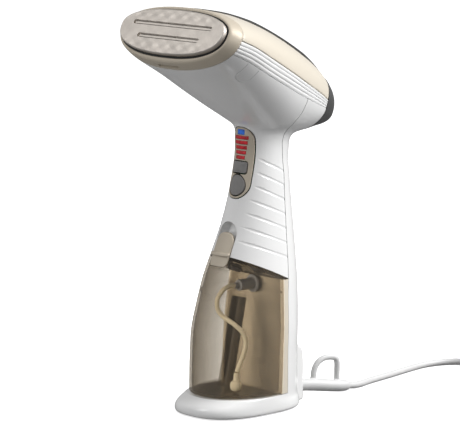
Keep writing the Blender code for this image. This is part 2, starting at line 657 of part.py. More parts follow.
def make_tank(mats):
    """Tank with a pocket and a tongue for the latch, its fill cap, valve, hose and weight."""
    smoke = mats["smoke_clear"]
    tank = handle_solid("water_tank", 0, smoke, TANK_FLOOR - 2, 126)
    keep(tank, side_prism("tank_block", tank_outline(0), 120, smoke))
    cut(tank, latch_pocket("pocket", LATCH_HALF + 0.5, LATCH_LOW - 0.5, -2.6, smoke))
    tongue = front_patch("tongue", 6.0, LATCH_LOW + 1, 137, -2.7, -4.7, smoke, round_top=4)
    hollow = handle_solid("hollow", -TANK_WALL, smoke, TANK_FLOOR - 2, 126)
    keep(hollow, side_prism("hollow_block", tank_outline(TANK_WALL), 120, smoke))
    cut(hollow, latch_pocket("inner_pocket", LATCH_HALF + 2.4, LATCH_LOW - 2.6, -4.6, smoke))
    add(tank, tongue)
    cut(tank, hollow)
    cut(tank, turned("fill_hole", ((-6, 7), (4, 7)), FILL, TOP_NORMAL, SIDE, smoke))
    back = 13.6
    cut(tank, turned("valve_hole", ((-6, 5.9), (6, 5.9)), (0, back, VALVE_Z), (0, 1, 0), SIDE, smoke))

    cap = turned("fill_cap", ((-4.5, 5.2), (-4, 5.9), (0.5, 5.9), (0.5, 9), (3.2, 9), (3.8, 8.4)), FILL,
                 TOP_NORMAL, SIDE, mats["grey_plastic"])
    bar = prism("bar", rounded_outline(14, 3, 1.2, 2), FILL + TOP_NORMAL * 3.5, SIDE,
                TOP_NORMAL.cross(SIDE), TOP_NORMAL * 2.3, mats["grey_plastic"])
    add(cap, bar)
    seal = [circle(FILL + TOP_NORMAL * (-2 + 0.35 * math.sin(a)), 6.4 + 0.2 * math.cos(a), 24, SIDE,
                   TOP_NORMAL.cross(SIDE)) for a in (math.tau * k / 6 for k in range(6))]
    stack("fill_seal", seal, mats["black_rubber"], closed=True)

    front, rear = -9.0, back + 0.2
    valve = turned("tank_valve", ((front, 2.4), (front + 4, 2.4), (front + 4, 4.6), (9.5, 4.6), (9.5, 7.2),
                                  (11.2, 7.2), (11.2, 5.5), (rear, 5.5)), (0, 0, VALVE_Z), (0, 1, 0), SIDE,
                   mats["grey_plastic"])
    cut(valve, turned("bore", ((3, 3.9), (30, 3.9)), (0, 0, VALVE_Z), (0, 1, 0), SIDE, mats["grey_plastic"], 20))
    hose = [(0, front - 0.4, VALVE_Z), (0, -14, VALVE_Z + 0.6), (0, -21.5, VALVE_Z - 2), (-1, -26.5, VALVE_Z - 9),
            (-1, -26, 81), (1.5, -23, 75.5), (6, -20, 72), (10.5, -16, 67.5), (13.2, -11.5, 61.5),
            (13.8, -9.5, 54), (13.5, -11.5, 45), (13.5, -16, 37), (13.5, -18.7, 31.5)]
    rod("pickup_hose", smooth_curve(hose, 5), 1.9, mats["clear_hose"])
    turned("hose_weight", ((0, 2.4), (6, 2.4), (7, 4.2), (10, 4.7), (13, 4.2), (14.6, 2)), (13.5, -18.9, 30.7),
           (0, -0.1, -0.995), SIDE, mats["steel"], 16)
    guide = prism("pickup_guide", ((-5, -1), (-5, 6), (-3.6, 6), (-3.6, 0.6), (3.6, 0.6), (3.6, 6), (5, 6), (5, -1)),
                  (2.5, -19.2, 18), SIDE, Vector((0, -1, 0.2)).normalized(), Vector((0, 15.3, 71)), smoke)
    return tank, guide


def make_latch(mats):
    """Slider with a finger ledge, and the spring that holds it down."""
    latch = front_patch("tank_latch", LATCH_HALF, LATCH_LOW, LATCH_HIGH, 0.5, -2.1, mats["champagne_plastic"],
                        round_top=LATCH_HALF - 0.9, round_low=3.5, rows=10, cols=6)
    ledge = front_patch("ledge", LATCH_HALF + 0.2, 124.2, 127.0, 2.3, 0, mats["champagne_plastic"], rows=2, cols=4)
    add(latch, ledge)
    points = []
    top = front_point(0, SPRING_LOW + 13, -6.2) - front_point(0, SPRING_LOW, -6.2)
    up = top.normalized()
    fore = SIDE.cross(up)
    for i in range(SPRING_TURNS * 8 + 1):
        turn = math.tau * i / 8
        centre = front_point(0, SPRING_LOW, -6.2) + top * (i / (SPRING_TURNS * 8))
        points.append(centre + SIDE * 0.8 * math.cos(turn) + fore * 0.8 * math.sin(turn))
    rod("latch_spring", points, 0.25, mats["steel"], sides=4)


def make_water_path(mats):
    """Spine cover with the dock, pump and hoses between the tank and the heating block."""
    white = mats["white_plastic"]
    cream = mats["cream_plastic"]
    cover = handle_solid("spine_cover", 0, cream, TANK_FLOOR - 2, 112)
    tank_side = [(y + GAP, z) for y, z in TANK_BACK]
    tank_side[-1] = (tank_side[-1][0], TANK_FLOOR + GAP)
    shell_side = [(y - GAP / 2, z) for y, z in SEAM if z <= 104]
    shell_side[-1] = (shell_side[-1][0], TANK_FLOOR + GAP)
    outline = [(tank_side[0][0], 104)] + tank_side[1:] + shell_side[::-1]
    keep(cover, side_prism("cover_block", outline, 120, cream))
    cut(cover, turned("dock_hole", ((-20, 5.4), (20, 5.4)), (0, 15, VALVE_Z), (0, 1, 0), SIDE, white))
    nipple = turned("dock_nipple", ((6, 2.6), (7, 3.2), (14.6, 3.2), (14.6, 5.0), (20, 5.0), (20, 2.4),
                                    (25, 2.4)), (0, 0, VALVE_Z), (0, 1, 0), SIDE, mats["grey_plastic"])
    cut(nipple, turned("bore", ((0, 1.4), (22, 1.4)), (0, 0, VALVE_Z), (0, 1, 0), SIDE, white, 12))
    seal = [circle((0, 12 + 0.4 * math.sin(a), VALVE_Z), 3.55 + 0.2 * math.cos(a), 20, SIDE, Vector((0, 0, 1)))
            for a in (math.tau * k / 6 for k in range(6))]
    stack("dock_seal", seal, mats["black_rubber"], closed=True)

    lift, front, rear = 9.5, -8.0, 20.0
    dock = handle_solid("dock_plate", -WALL - GAP, white, 104, 146)
    keep(dock, side_prism("dock_block", [(y, shell_edge(y) + z) for y, z in
                                         ((front, lift), (rear, lift), (rear, lift + 2), (front, lift + 2))],
                          80, white))
    turned("pump", ((128, 8), (129, 11.5), (137, 11.5), (137, 10.2), (155, 10.2), (155, 11.5), (161, 11.5),
                    (162.5, 4), (167, 3.6)), (0, 17.5, 0), (0, 0, 1), SIDE, mats["brass"], 20)
    rod("inlet_hose", smooth_curve(((0, 25.6, VALVE_Z), (0, 29, VALVE_Z + 0.4), (0, 33, VALVE_Z + 7), (0, 29, 117),
                                    (0, 18.2, 122.5), (0, 17.5, 127.2)), 4), 2.4, mats["clear_hose"])
    rod("steam_hose", smooth_curve(((0, 17.5, 167.4), (0, 18.5, 176), (0, 21, 195), (0, 20, 215), (0, 12, 236),
                                    in_head(0, 60, -13), in_head(0, 40, -13.4), in_head(0, BLOCK_BACK + 0.6, -13.4)),
                                   8), 2.6, mats["clear_hose"])


# ================================================================================================
# foot, switch, cord
# ================================================================================================
def make_foot_parts(mats):
    """Cover under the foot with rubber feet and screws, and the rear screws of the handle."""
    low, high = GROUND + 1.0, GROUND + 3.0
    cover = foot_solid("base_cover", WALL + 0.9, 1.0, mats["white_plastic"])
    keep(cover, side_prism("cover_layer", ((-90, low), (40, low), (40, high), (-90, high)), 80,
                           mats["white_plastic"]))
    for i, (x, y) in enumerate(((-22, -38), (22, -38), (-22, 28), (22, 28))):
        turned(f"rubber_foot_{i + 1}", ((-3.4, 5), (-0.4, 5), (0, 4.6)), (x, y, GROUND), (0, 0, -1), SIDE,
               mats["black_rubber"], 14)
        cut(cover, turned("foot_hole", ((-1, 5.4), (8, 5.4)), (x, y, GROUND), (0, 0, 1), SIDE,
                          mats["black_rubber"], 14))
    for name, x in (("base_screw_left", -29), ("base_screw_right", 29)):
        cut(cover, turned("hole", ((-1, 3.2), (8, 3.2)), (x, -6, GROUND), (0, 0, 1), SIDE, mats["steel"], 12))
        turned(name, ((1.3, 2.8), (2.9, 2.8), (2.9, 1.3), (7, 1.3)), (x, -6, GROUND), (0, 0, 1), SIDE,
               mats["steel"], 12)
    for name, z in zip(("handle_screw_low", "handle_screw_high"), REAR_SCREWS):
        y = on_handle(z, 90).y
        turned(name, ((-1.0, 3.05), (-2.8, 3.05), (-2.8, 1.4), (-14, 1.4)), (0, y, z), (0, 1, 0), SIDE,
               mats["steel"], 14)


def make_switch(mats):
    """Round rocker in its ring, resting with its upper edge pressed in."""
    outer, bore = SWITCH_RADIUS + 1.3, SWITCH_RADIUS + 0.5
    ring = turned("switch_ring", ((-3, outer), (0.5, outer), (1.0, outer - 0.4)), SWITCH_CENTRE, SWITCH_AXIS,
                  SIDE, mats["grey_plastic"])
    cut(ring, turned("bore", ((-6, bore), (6, bore)), SWITCH_CENTRE, SWITCH_AXIS, SIDE, mats["grey_plastic"]))
    tilt = Matrix.Rotation(math.radians(SWITCH_TILT), 3, "X")
    turned("power_switch", ((-1.4, SWITCH_RADIUS), (1.0, SWITCH_RADIUS), (1.5, SWITCH_RADIUS - 0.5)),
           SWITCH_CENTRE, tilt @ SWITCH_AXIS, SIDE, mats["dark_grey_plastic"])


def make_cord(mats):
    """Strain relief with a hanging loop, the cord on the ground, its coil, tie and plug."""
    start = Vector(RELIEF[0][:3])
    neck = turned("strain_relief", ((-5.4, 5.8), (-3.0, 5.8), (-3.0, 3.6), (0.6, 3.6)), start, (0, 1, 0), SIDE,
                  mats["cord_white"], 14)
    sleeve = []
    for k, (x, y, z, radius) in enumerate(RELIEF):
        ahead = Vector(RELIEF[min(k + 1, len(RELIEF) - 1)][:3]) - Vector(RELIEF[max(k - 1, 0)][:3])
        if k == 0:
            ahead = Vector((0, 1, 0))
        across = ahead.normalized().cross(Vector((0, 0, 1))).normalized()
        sleeve.append(circle((x, y, z), radius, 14, across, ahead.normalized().cross(across)))
    relief = add(stack("sleeve", sleeve, mats["cord_white"]), neck)
    loop = [(math.sin(LOOP_YAW) * s, BOX_REAR + math.cos(LOOP_YAW) * s, z) for s, z in LOOP]
    add(relief, rod("loop", smooth_curve(loop, 4.5), LOOP_BAR, mats["cord_white"], 8))
    relief.name = "strain_relief"
    curve = bpy.data.curves.new("cord_tube", "CURVE")
    curve.dimensions = "3D"
    curve.bevel_depth = CORD / 2 * MM
    curve.bevel_resolution = 2
    curve.use_fill_caps = True
    spline = curve.splines.new("POLY")
    route = smooth_curve(CORD_ROUTE, 2.2 * CORD)
    spline.points.add(len(route) - 1)
    for point, p in zip(spline.points, route):
        point.co = (*to_metres(p), 1)
    curve.materials.append(mats["cord_white"])
    tube = bpy.data.objects.new("cord_tube", curve)
    bpy.context.scene.collection.objects.link(tube)
    coil = [circle(COIL_CENTRE + Vector((0, 0, z)), r, 36)
            for r, z in ((COIL_INNER, COIL_LIFT), (COIL_INNER, COIL_TOP), (COIL_OUTER - 2, COIL_TOP),
                         (COIL_OUTER, COIL_TOP - 2), (COIL_OUTER, COIL_LIFT + 2), (COIL_OUTER - 2, COIL_LIFT))]
    stack("cord_coil", coil, mats["cord_white"], closed=True)
    make_tie_and_plug(mats)


def make_tie_and_plug(mats):
    """Tie strap around the coil, and the plug lying on top of it."""
    out = Vector((math.cos(TIE_ANGLE), math.sin(TIE_ANGLE), 0))
    along = Vector((-out.y, out.x, 0))
    middle = COIL_CENTRE + out * (COIL_INNER + COIL_OUTER) / 2
    half_width, half_height = (COIL_OUTER - COIL_INNER) / 2 + 1.2, (COIL_TOP - TIE_THICK) / 2 + 0.3
    rings = []
    for grow, shift in ((0, -4), (TIE_THICK, -4), (TIE_THICK, 4), (0, 4)):
        outline = rounded_outline(2 * (half_width + grow), 2 * (half_height + grow), 1.2 + grow, 3)
        rings.append([middle + out * a + Vector((0, 0, TIE_THICK + half_height + b)) + along * shift
                      for a, b in outline])
    stack("cord_tie", rings, mats["black_rubber"], closed=True)
    start = COIL_CENTRE + PLUG_PLACE
    ahead = Vector((math.cos(PLUG_ANGLE), math.sin(PLUG_ANGLE), 0))
    across = ahead.cross(Vector((0, 0, 1)))
    up = Vector((0, 0, 1))
    body = []
    for d, w, h in ((0, 3.6, 3.6), (10, 4.6, 4.4), (14, 8.4, 6.0), (24, 11.2, 7.0), (34, 11.5, 7.0), (36, 10.6, 6.2)):
        body.append([start + ahead * d + across * a + up * b
                     for a, b in rounded_outline(2 * w, 2 * h, min(w, h) * 0.62, 3)])
    stack("plug_body", body, mats["cord_white"])
    for name, side in (("plug_blade_left", -1), ("plug_blade_right", 1)):
        prism(name, rounded_outline(1.5, 6.4, 0.3, 1), start + ahead * 36.35 + across * side * BLADE_SPREAD,
              across, up, ahead * 16, mats["brass"])


def make_materials():
    return {
        "white_plastic": material("white_plastic", (0.86, 0.86, 0.85), 0.22),
        "cream_plastic": material("cream_plastic", (0.78, 0.70, 0.52), 0.3),
        "champagne_plastic": material("champagne_plastic", (0.48, 0.40, 0.29), 0.35, 0.3),
        "plate_metal": material("plate_metal", (0.50, 0.44, 0.34), 0.4, 0.8),
        "dark_grey_plastic": material("dark_grey_plastic", (0.06, 0.06, 0.06), 0.5),
        "grey_plastic": material("grey_plastic", (0.16, 0.15, 0.14), 0.45),
        "black_plastic": material("black_plastic", (0.02, 0.02, 0.02), 0.5),
        "black_rubber": material("black_rubber", (0.02, 0.02, 0.02), 0.8),
        "cast_aluminium": material("cast_aluminium", (0.6, 0.6, 0.6), 0.45, 1.0),
        "steel": material("steel", (0.6, 0.6, 0.6), 0.3, 1.0),
        "brass": material("brass", (0.75, 0.55, 0.25), 0.3, 1.0),
        "smoke_clear": material("smoke_clear", (0.25, 0.18, 0.10), 0.1, 0.0, 0.6),
        "clear_hose": material("clear_hose", (0.75, 0.68, 0.5), 0.3, 0.0, 0.3),
        "blue_lens": material("blue_lens", (0.02, 0.1, 0.6), 0.3),
        "red_lens": material("red_lens", (0.6, 0.02, 0.03), 0.3),
        "board_green": material("board_green", (0.02, 0.2, 0.07), 0.5),
        "cord_white": material("cord_white", (0.8, 0.8, 0.79), 0.5),
    }


def main():
    for obj in list(bpy.data.objects):
        bpy.data.objects.remove(obj)
    mats = make_materials()
    make_shells(mats)
    make_head_trim(mats)
    make_face(mats)
    make_panel(mats)
    make_tank(mats)
    make_latch(mats)
    make_water_path(mats)
    make_foot_parts(mats)
    make_switch(mats)
    make_cord(mats)


main()
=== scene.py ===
"""Looks of an upright garment steamer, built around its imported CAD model.

Shapes are worked out in the millimetres of the design's working frame, with x across, y to the cord and
z up, and to_metres puts them in the frame.  Each piece that can be seen replaces its CAD node with a finer
mesh; the pieces inside stay as they are in CAD and only get their materials.
"""
import json
import math
from itertools import accumulate

import bmesh
import bpy
import numpy as np
from mathutils import Matrix, Vector
from mathutils.bvhtree import BVHTree


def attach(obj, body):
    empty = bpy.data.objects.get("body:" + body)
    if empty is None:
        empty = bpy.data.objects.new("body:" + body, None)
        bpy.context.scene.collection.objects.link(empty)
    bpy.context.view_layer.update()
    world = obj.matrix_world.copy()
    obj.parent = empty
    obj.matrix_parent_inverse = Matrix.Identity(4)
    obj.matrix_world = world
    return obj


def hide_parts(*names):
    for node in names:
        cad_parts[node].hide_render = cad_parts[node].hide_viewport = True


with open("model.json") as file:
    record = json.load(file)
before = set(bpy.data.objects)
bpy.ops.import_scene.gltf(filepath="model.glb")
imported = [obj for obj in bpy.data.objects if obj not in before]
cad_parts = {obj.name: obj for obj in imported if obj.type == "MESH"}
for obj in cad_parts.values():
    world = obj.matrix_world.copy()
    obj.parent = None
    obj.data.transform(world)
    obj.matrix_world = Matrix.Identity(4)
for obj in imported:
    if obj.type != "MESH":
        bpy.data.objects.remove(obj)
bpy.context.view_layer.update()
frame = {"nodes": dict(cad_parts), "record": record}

# ---------------- driving dimensions, in millimetres ----------------
MM = 0.001
ORIGIN_Y = 11.28        # working-frame y of the frame's origin
GROUND = -1.7           # working-frame z of the surface it stands on
GAP = 0.35
SEAM_GAP = 0.6          # between the front and rear shells
WALL = 2.2
TANK_WALL = 2.0
OBLIQUE_DEPTH = 3.5     # wall thicknesses of smoked plastic that a glancing ray meets

HEAD_TILT = math.radians(29)
FACE_CENTRE = Vector((0, -74.6, 307.3))
AXIS = Vector((0, math.cos(HEAD_TILT), -math.sin(HEAD_TILT)))
UP = Vector((0, math.sin(HEAD_TILT), math.cos(HEAD_TILT)))
SIDE = Vector((1, 0, 0))
REARWARD = Vector((0, 1, 0))
UPWARD = Vector((0, 0, 1))
# distance along the axis, centre height, half width, height above, height below, roundness
HEAD = ((4, 0, 63.5, 20.4, 26, 2.3), (14, 1, 66.7, 22.8, 29, 2.2), (35, 3, 63, 27.3, 33, 2.1),
        (62, 3, 56.5, 32.3, 36, 2.1), (90, 3, 49, 34.8, 38, 2.1), (120, 3, 40, 35.3, 38, 2.1),
        (145, 4, 31, 32.7, 28, 2.1), (165, 6, 22.5, 25.8, 15, 2.0), (176, 8, 14.5, 18, 9, 2.0),
        (181, 9, 7, 11, 5, 2.0))
BEZEL_BACK = 14.6
HEEL_FRONT = 157.0
STRIP_HEIGHT = 2.4      # of the dark strip over the top cover, a raised part whose dark line along the crest is also painted reflection
STRIP_FADE = (45, 30)   # lengths over which it rises at the front and sinks at the rear
HEEL_PROUD = 0.4
HEAD_END = 181.0

# height, centre y, half width, half depth
HANDLE = ((7, 0.5, 37.1, 46.4), (24, 0.5, 37.1, 46.4), (45, 0.8, 36.9, 46.1), (65, 1.9, 36.5, 45.6),
          (85, 4.6, 34.7, 43.4), (106, 7.6, 32.1, 40.1), (126, 11.3, 28.5, 35.6), (146, 14.8, 24.9, 31.1),
          (166, 17.2, 21.9, 27.4), (186, 18.9, 19.6, 24.5), (197, 19.5, 18.5, 23.1), (206, 20.3, 18.3, 22.9),
          (214, 21.0, 18.7, 23.5), (222, 24.0, 20.8, 26.0), (232, 26.0, 23.0, 28.5))
HANDLE_ROUND = 2.15
GROOVES = 7
TANK_FLOOR = 13.0
SHELL_EDGE_Z = 124.0
SHELL_EDGE_Y = -23.0
SHELL_EDGE_SLOPE = 0.44
SHELL_REAR_Y = 20.7
# seam between the shells and rear wall of the tank, as (y, z)
SEAM = ((80, 335), (34.7, 248.7), (30.5, 236), (27.2, 229), (26.5, 221), (25.5, 212), (26.4, 200), (27, 187),
        (25.1, 154), (22.4, 118), (20.6, 104), (18.5, 88), (16.5, 50), (16, TANK_FLOOR - 0.1))
TANK_BACK = ((14.6, 104), (13.0, 88), (10.6, 50), (8.8, TANK_FLOOR))

FOOT_CENTRE_Y = -8.0
# height, half width, depth to the front, depth to the rear, roundness
FOOT = ((-0.9, 37.2, 48.2, 52.8, 2.65), (0.6, 38.3, 49.5, 54.0, 2.65), (4.5, 38.4, 49.5, 54.0, 2.6),
        (7.5, 38.2, 47.6, 53.8, 2.5), (10.5, 37.9, 43.2, 53.5, 2.35), (TANK_FLOOR, 37.6, 38.6, 53.2, 2.25))
BOX_REAR = 56.0
BOX_HALF = 13.0
BOX_WIDEN = 0.36
BOX_TOP = 45.5

PLATE = (60.0, 16.4, 21.3, 2.4)
PLATE_DEPTH = 3.5
SLOT_HEIGHT = 3.6
SLOTS = ((3.1, 46.0), (-7.6, 36.0))

PANEL_LOW, PANEL_HIGH, PANEL_HALF = 168.5, 225.0, 12.0
BAR_HALF = 7.4
BAR_HEIGHT = 2.4
BAR_PITCH = 3.95
BAR_STEP = 1.3         # each bar is this much narrower than the one above
BAR_TOP = 216.6
LAMP_Z = 220.9
LAMP_WIDTH, LAMP_HEIGHT = 7.4, 3.8
BUTTON_GAP = 0.75
WINDOW_GAP = 0.3
MODE_Z, MODE_WIDTH, MODE_HEIGHT = 193.1, 15.6, 9.4
STEAM_Z, STEAM_WIDTH, STEAM_HEIGHT = 179.0, 16.8, 17.0
BUTTON_DEPTH = 3.4
BUTTON_SCALE = 0.97     # a little smaller than in CAD, so that the gap round it reads

LATCH_HALF, LATCH_LOW, LATCH_HIGH = 9.6, 116.0, 142.3
RECESS_HALF, RECESS_HIGH, RECESS_DEPTH = 10.3, 150.6, 7.5
TRAY_WALL = 1.8
LEDGE_INSET = TANK_WALL - 1.1
VALVE_Z = 98.0
VALVE_FRONT, VALVE_HOLE_Y = -9.0, 13.6
TOP_NORMAL = Vector((0, SHELL_EDGE_SLOPE, 1)).normalized()
FILL = Vector((-13.5, 4.0, SHELL_EDGE_Z - SHELL_EDGE_SLOPE * (4.0 - SHELL_EDGE_Y) - GAP))

SWITCH_CENTRE = Vector((0, 53.4, 35.2))
SWITCH_AXIS = Vector((0, 0.936, 0.35)).normalized()
SWITCH_RADIUS = 5.6
SWITCH_RIM = 1.3
SWITCH_TILT = 7
REAR_SCREWS = (134, 178)

CORD = 5.6
CORD_Z = GROUND + CORD / 2
RELIEF = ((0, BOX_REAR + 0.4, 8.2, 5.0), (4.0, 69.5, 7.3, 5.2), (7.8, 83, 5.6, 5.1), (10.3, 96, 3.8, 4.9),
          (10.8, 104.4, 3.0, 4.6), (10.8, 106.5, 2.8, 3.4))
LOOP_YAW = math.radians(13)
LOOP_BAR = 2.5
LOOP = ((17.8, 8), (18.2, 14), (19.6, 20.5), (23.4, 25.6), (29, 28), (35.5, 28), (39.4, 26.3), (40.7, 22.5),
        (40.6, 15), (40.5, 6))
COIL_CENTRE = Vector((26, 293.5, GROUND))
COIL_LIFT = 1.4
COIL_TOP = COIL_LIFT + 4 * CORD + 0.2
COIL_IN, COIL_OUT = 4 * CORD, 7 * CORD      # radii of the innermost and outermost turns
COIL_TURNS, LAYER_TURNS, RISE_TURNS = 13.1, 3.0, 0.37
COIL_STEPS = 16         # points to a turn
CORD_ROUTE = ((10.8, 106.9, 2.4), (10.6, 111, 1.9), (9.4, 121, CORD_Z), (4.6, 138.5, CORD_Z),
              (-0.6, 166, CORD_Z), (-7.2, 197, CORD_Z), (-10.4, 218, CORD_Z), (-8.2, 234, CORD_Z),
              (-2.4, 245.2, CORD_Z), (6.4, 251.6, CORD_Z))
TIE_ANGLE = math.radians(150)
TIE_THICK = 1.0
PLUG_PLACE = Vector((32, -9, COIL_TOP + 7.4))
PLUG_ANGLE = math.radians(100)
PLUG_START = COIL_CENTRE + PLUG_PLACE
PLUG_AHEAD = Vector((math.cos(PLUG_ANGLE), math.sin(PLUG_ANGLE), 0))

# ---------------- fineness of the meshes ----------------
ROUND_COUNT = 128       # points round a section of the body
FACE_COUNT = 192        # points round a section of the bezel and the plate's seat
SHARP_ANGLE = math.radians(32)
SKIN_GRID, RELIEF_GRID = 1.1, 0.5
NECK_SOFT, HEEL_SOFT = 7, 6     # how far the softening of the inner corners reaches
# depth below the skin and radius of the dark strip that paints shade into the seam between the shells
SEAM_SHADE_DEPTH, SEAM_SHADE_RADIUS = 0.55, 0.42


# ---------------- geometry helpers ----------------
def to_metres(p):
    return (p[0] * MM, (p[1] - ORIGIN_Y) * MM, (p[2] - GROUND) * MM)


def blend(a, b, slope_a, slope_b, f):
    """Value at share f of a smooth step from a to b, with the slopes given for its two ends."""
    return ((2 * f**3 - 3 * f**2 + 1) * a + (f**3 - 2 * f**2 + f) * slope_a
            + (3 * f**2 - 2 * f**3) * b + (f**3 - f**2) * slope_b)


def smooth_row(table, t):
    """Row of the table at t, on a smooth curve through its rows."""
    t = min(max(t, table[0][0]), table[-1][0])
    k = max(i for i in range(len(table) - 1) if table[i][0] <= t)
    a, b = table[k], table[k + 1]
    before, after = table[max(k - 1, 0)], table[min(k + 2, len(table) - 1)]
    span = b[0] - a[0]
    return [blend(a[i], b[i], (b[i] - before[i]) / (b[0] - before[0]) * span,
                  (after[i] - a[i]) / (after[0] - a[0]) * span, (t - a[0]) / span) for i in range(1, len(a))]


def super_xy(angle, width, height, roundness):
    c, s = math.cos(math.radians(angle)), math.sin(math.radians(angle))
    power = 2 / roundness
    return (width * math.copysign(abs(c)**power, c), height * math.copysign(abs(s)**power, s))


def in_head(x, s, u):
    return FACE_CENTRE + SIDE * x + AXIS * s + UP * u


def on_head(s, angle, out=0.0):
    """Point of the head's skin; angle 0 is its right side and 90 its top."""
    centre, half, above, below, roundness = smooth_row(HEAD, s)
    high = above if math.sin(math.radians(angle)) > 0 else below
    x, u = super_xy(angle, half + out, high + out, roundness)
    return in_head(x, s, centre + u)


def on_handle(z, angle, out=0.0):
    """Point of the handle's skin; angle 0 is its right side and -90 its front."""
    centre, half, depth = smooth_row(HANDLE, z)
    x, y = super_xy(angle, half + out, depth + out, HANDLE_ROUND)
    return Vector((x, centre + y, z))


def front_point(x, z, out=0.0):
    """Point over the handle's front at a side offset x, moved outwards square to the level section."""
    centre, half, depth = smooth_row(HANDLE, z)
    share = abs(x) / half
    y = -depth * (1 - share**HANDLE_ROUND)**(1 / HANDLE_ROUND)
    power = HANDLE_ROUND - 1
    outward = Vector((math.copysign(share**power / half, x), -(abs(y) / depth)**power / depth, 0))
    return Vector((x, centre + y, z)) + outward.normalized() * out


def head_ring(s, out=0.0, count=ROUND_COUNT):
    return [on_head(s, 360 * i / count, out) for i in range(count)]


def handle_ring(z, out=0.0, count=ROUND_COUNT):
    return [on_handle(z, 360 * i / count, out) for i in range(count)]


def plate_ring(s, grow):
    width, above, below, roundness = PLATE
    ring = []
    for i in range(FACE_COUNT):
        angle = 360 * i / FACE_COUNT
        x, u = super_xy(angle, width + grow, (above if angle < 180 else below) + grow, roundness)
        ring.append(in_head(x, s, u))
    return ring


def circle(centre, radius, count, across, along):
    turn = [math.tau * i / count for i in range(count)]
    return [Vector(centre) + across * radius * math.cos(a) + along * radius * math.sin(a) for a in turn]


def rounded_outline(width, height, radius, count=6):
    points = []
    for quarter, (sx, sy) in enumerate(((1, 1), (-1, 1), (-1, -1), (1, -1))):
        for i in range(count + 1):
            a = math.radians(90 * (quarter + i / count))
            points.append((sx * (width / 2 - radius) + radius * math.cos(a),
                           sy * (height / 2 - radius) + radius * math.sin(a)))
    return points


def smooth_curve(points, step):
    """Evenly spaced points on a smooth curve through the given ones."""
    points = [Vector(p) for p in points]
    fine = []
    for k, (a, b) in enumerate(zip(points, points[1:])):
        before, after = points[max(k - 1, 0)], points[min(k + 2, len(points) - 1)]
        fine += [blend(a, b, (b - before) / 2, (after - a) / 2, i / 16) for i in range(16)]
    fine.append(points[-1])
    lengths = [0.0, *accumulate((b - a).length for a, b in zip(fine, fine[1:]))]
    count = max(2, round(lengths[-1] / step))
    out, k = [], 0
    for i in range(count + 1):
        want = lengths[-1] * i / count
        while k < len(fine) - 2 and lengths[k + 1] < want:
            k += 1
        share = (want - lengths[k]) / max(lengths[k + 1] - lengths[k], 1e-9)
        out.append(fine[k].lerp(fine[k + 1], min(share, 1.0)))
    return out


def ease(i, count):
    """Share of i in count, moved so that even steps come close together at both ends."""
    return 0.5 - 0.5 * math.cos(math.pi * i / count)


def both_sides(count):
    """Values from -1 to 1, close together at both ends."""
    return [math.sin(math.pi / 2 * (2 * i / count - 1)) for i in range(count + 1)]


def spaced(low, high, step):
    count = max(1, round((high - low) / step))
    return [low + (high - low) * i / count for i in range(count + 1)]


def edge_steps(low, high, step, radius):
    """Values from low to high, close together near both ends, where an edge is rounded."""
    near = [radius * (1 - math.cos(math.pi / 2 * i / 4)) for i in range(4)]
    middle = spaced(low + radius, high - radius, step)
    return [low + d for d in near] + middle + [high - d for d in near[::-1]]


def round_off(distances, radius):
    """How far an edge's rounding lowers the surface, from the distances to its edges."""
    lost = sum(max(radius - d, 0)**2 for d in distances)
    return radius - math.sqrt(max(radius**2 - lost, 0))


# ---------------- meshes ----------------
def new_object(name, data):
    obj = bpy.data.objects.new(name, data)
    bpy.context.scene.collection.objects.link(obj)
    return obj


def shade(obj):
    obj.data.shade_smooth()
    obj.data.set_sharp_from_angle(angle=SHARP_ANGLE)
    return obj


def mesh_object(name, points, faces):
    """Closed mesh from working-frame points, with its faces turned outwards."""
    mesh = bpy.data.meshes.new(name)
    mesh.from_pydata([to_metres(p) for p in points], [], faces)
    bm = bmesh.new()
    bm.from_mesh(mesh)
    bmesh.ops.recalc_face_normals(bm, faces=bm.faces)
    bm.to_mesh(mesh)
    bm.free()
    return shade(new_object(name, mesh))


def loft(name, rings, closed=False):
    """Body whose skin runs through the rings in turn, closed end to end or by a cap at each end."""
    count = len(rings[0])
    faces = []
    for r in range(len(rings) if closed else len(rings) - 1):
        a, b = r * count, (r + 1) % len(rings) * count
        for i in range(count):
            j = (i + 1) % count
            faces.append((a + i, a + j, b + j, b + i))
    if not closed:
        faces += [tuple(range(first, first + count)) for first in (0, (len(rings) - 1) * count)]
    return mesh_object(name, [p for ring in rings for p in ring], faces)


def slab(name, outer, inner):
    """Body between two grids of points with the same rows and columns."""
    rows, cols = len(outer), len(outer[0])
    lower = rows * cols
    faces = []
    for r in range(rows - 1):
        for c in range(cols - 1):
            a, b = r * cols + c, (r + 1) * cols + c
            faces += [(a, a + 1, b + 1, b), (lower + a, lower + b, lower + b + 1, lower + a + 1)]
    rim = [*range(cols), *range(2 * cols - 1, lower, cols), *range(lower - 2, lower - cols - 1, -1),
           *range(lower - 2 * cols, 0, -cols)]
    faces += [(a, b, lower + b, lower + a) for a, b in zip(rim, rim[1:] + rim[:1])]
    return mesh_object(name, [p for grid in (outer, inner) for row in grid for p in row], faces)


def sheet(name, rows, cols, point):
    """Slab whose outer (0) and inner (1) layers have their points from point(row, col, layer)."""
    return slab(name, *([[point(row, col, layer) for col in cols] for row in rows] for layer in (0, 1)))


def laid(outline, origin, across, up):
    """A flat outline's points, laid at a place in space."""
    return [origin + across * a + up * b for a, b in outline]


def prism(name, outline, origin, across, up, depth):
    near = laid(outline, Vector(origin), across, up)
    return loft(name, [near, [p + Vector(depth) for p in near]])


def side_prism(name, outline, half):
    return loft(name, [[Vector((x, y, z)) for y, z in outline] for x in (-half, half)])


def turned(name, profile, origin, axis, across=SIDE, count=48):
    """Solid of revolution: profile of (distance along the axis, radius)."""
    origin, axis = Vector(origin), Vector(axis)
    other = axis.cross(across)
    return loft(name, [circle(origin + axis * d, max(r, 0.02), count, across, other) for d, r in profile])


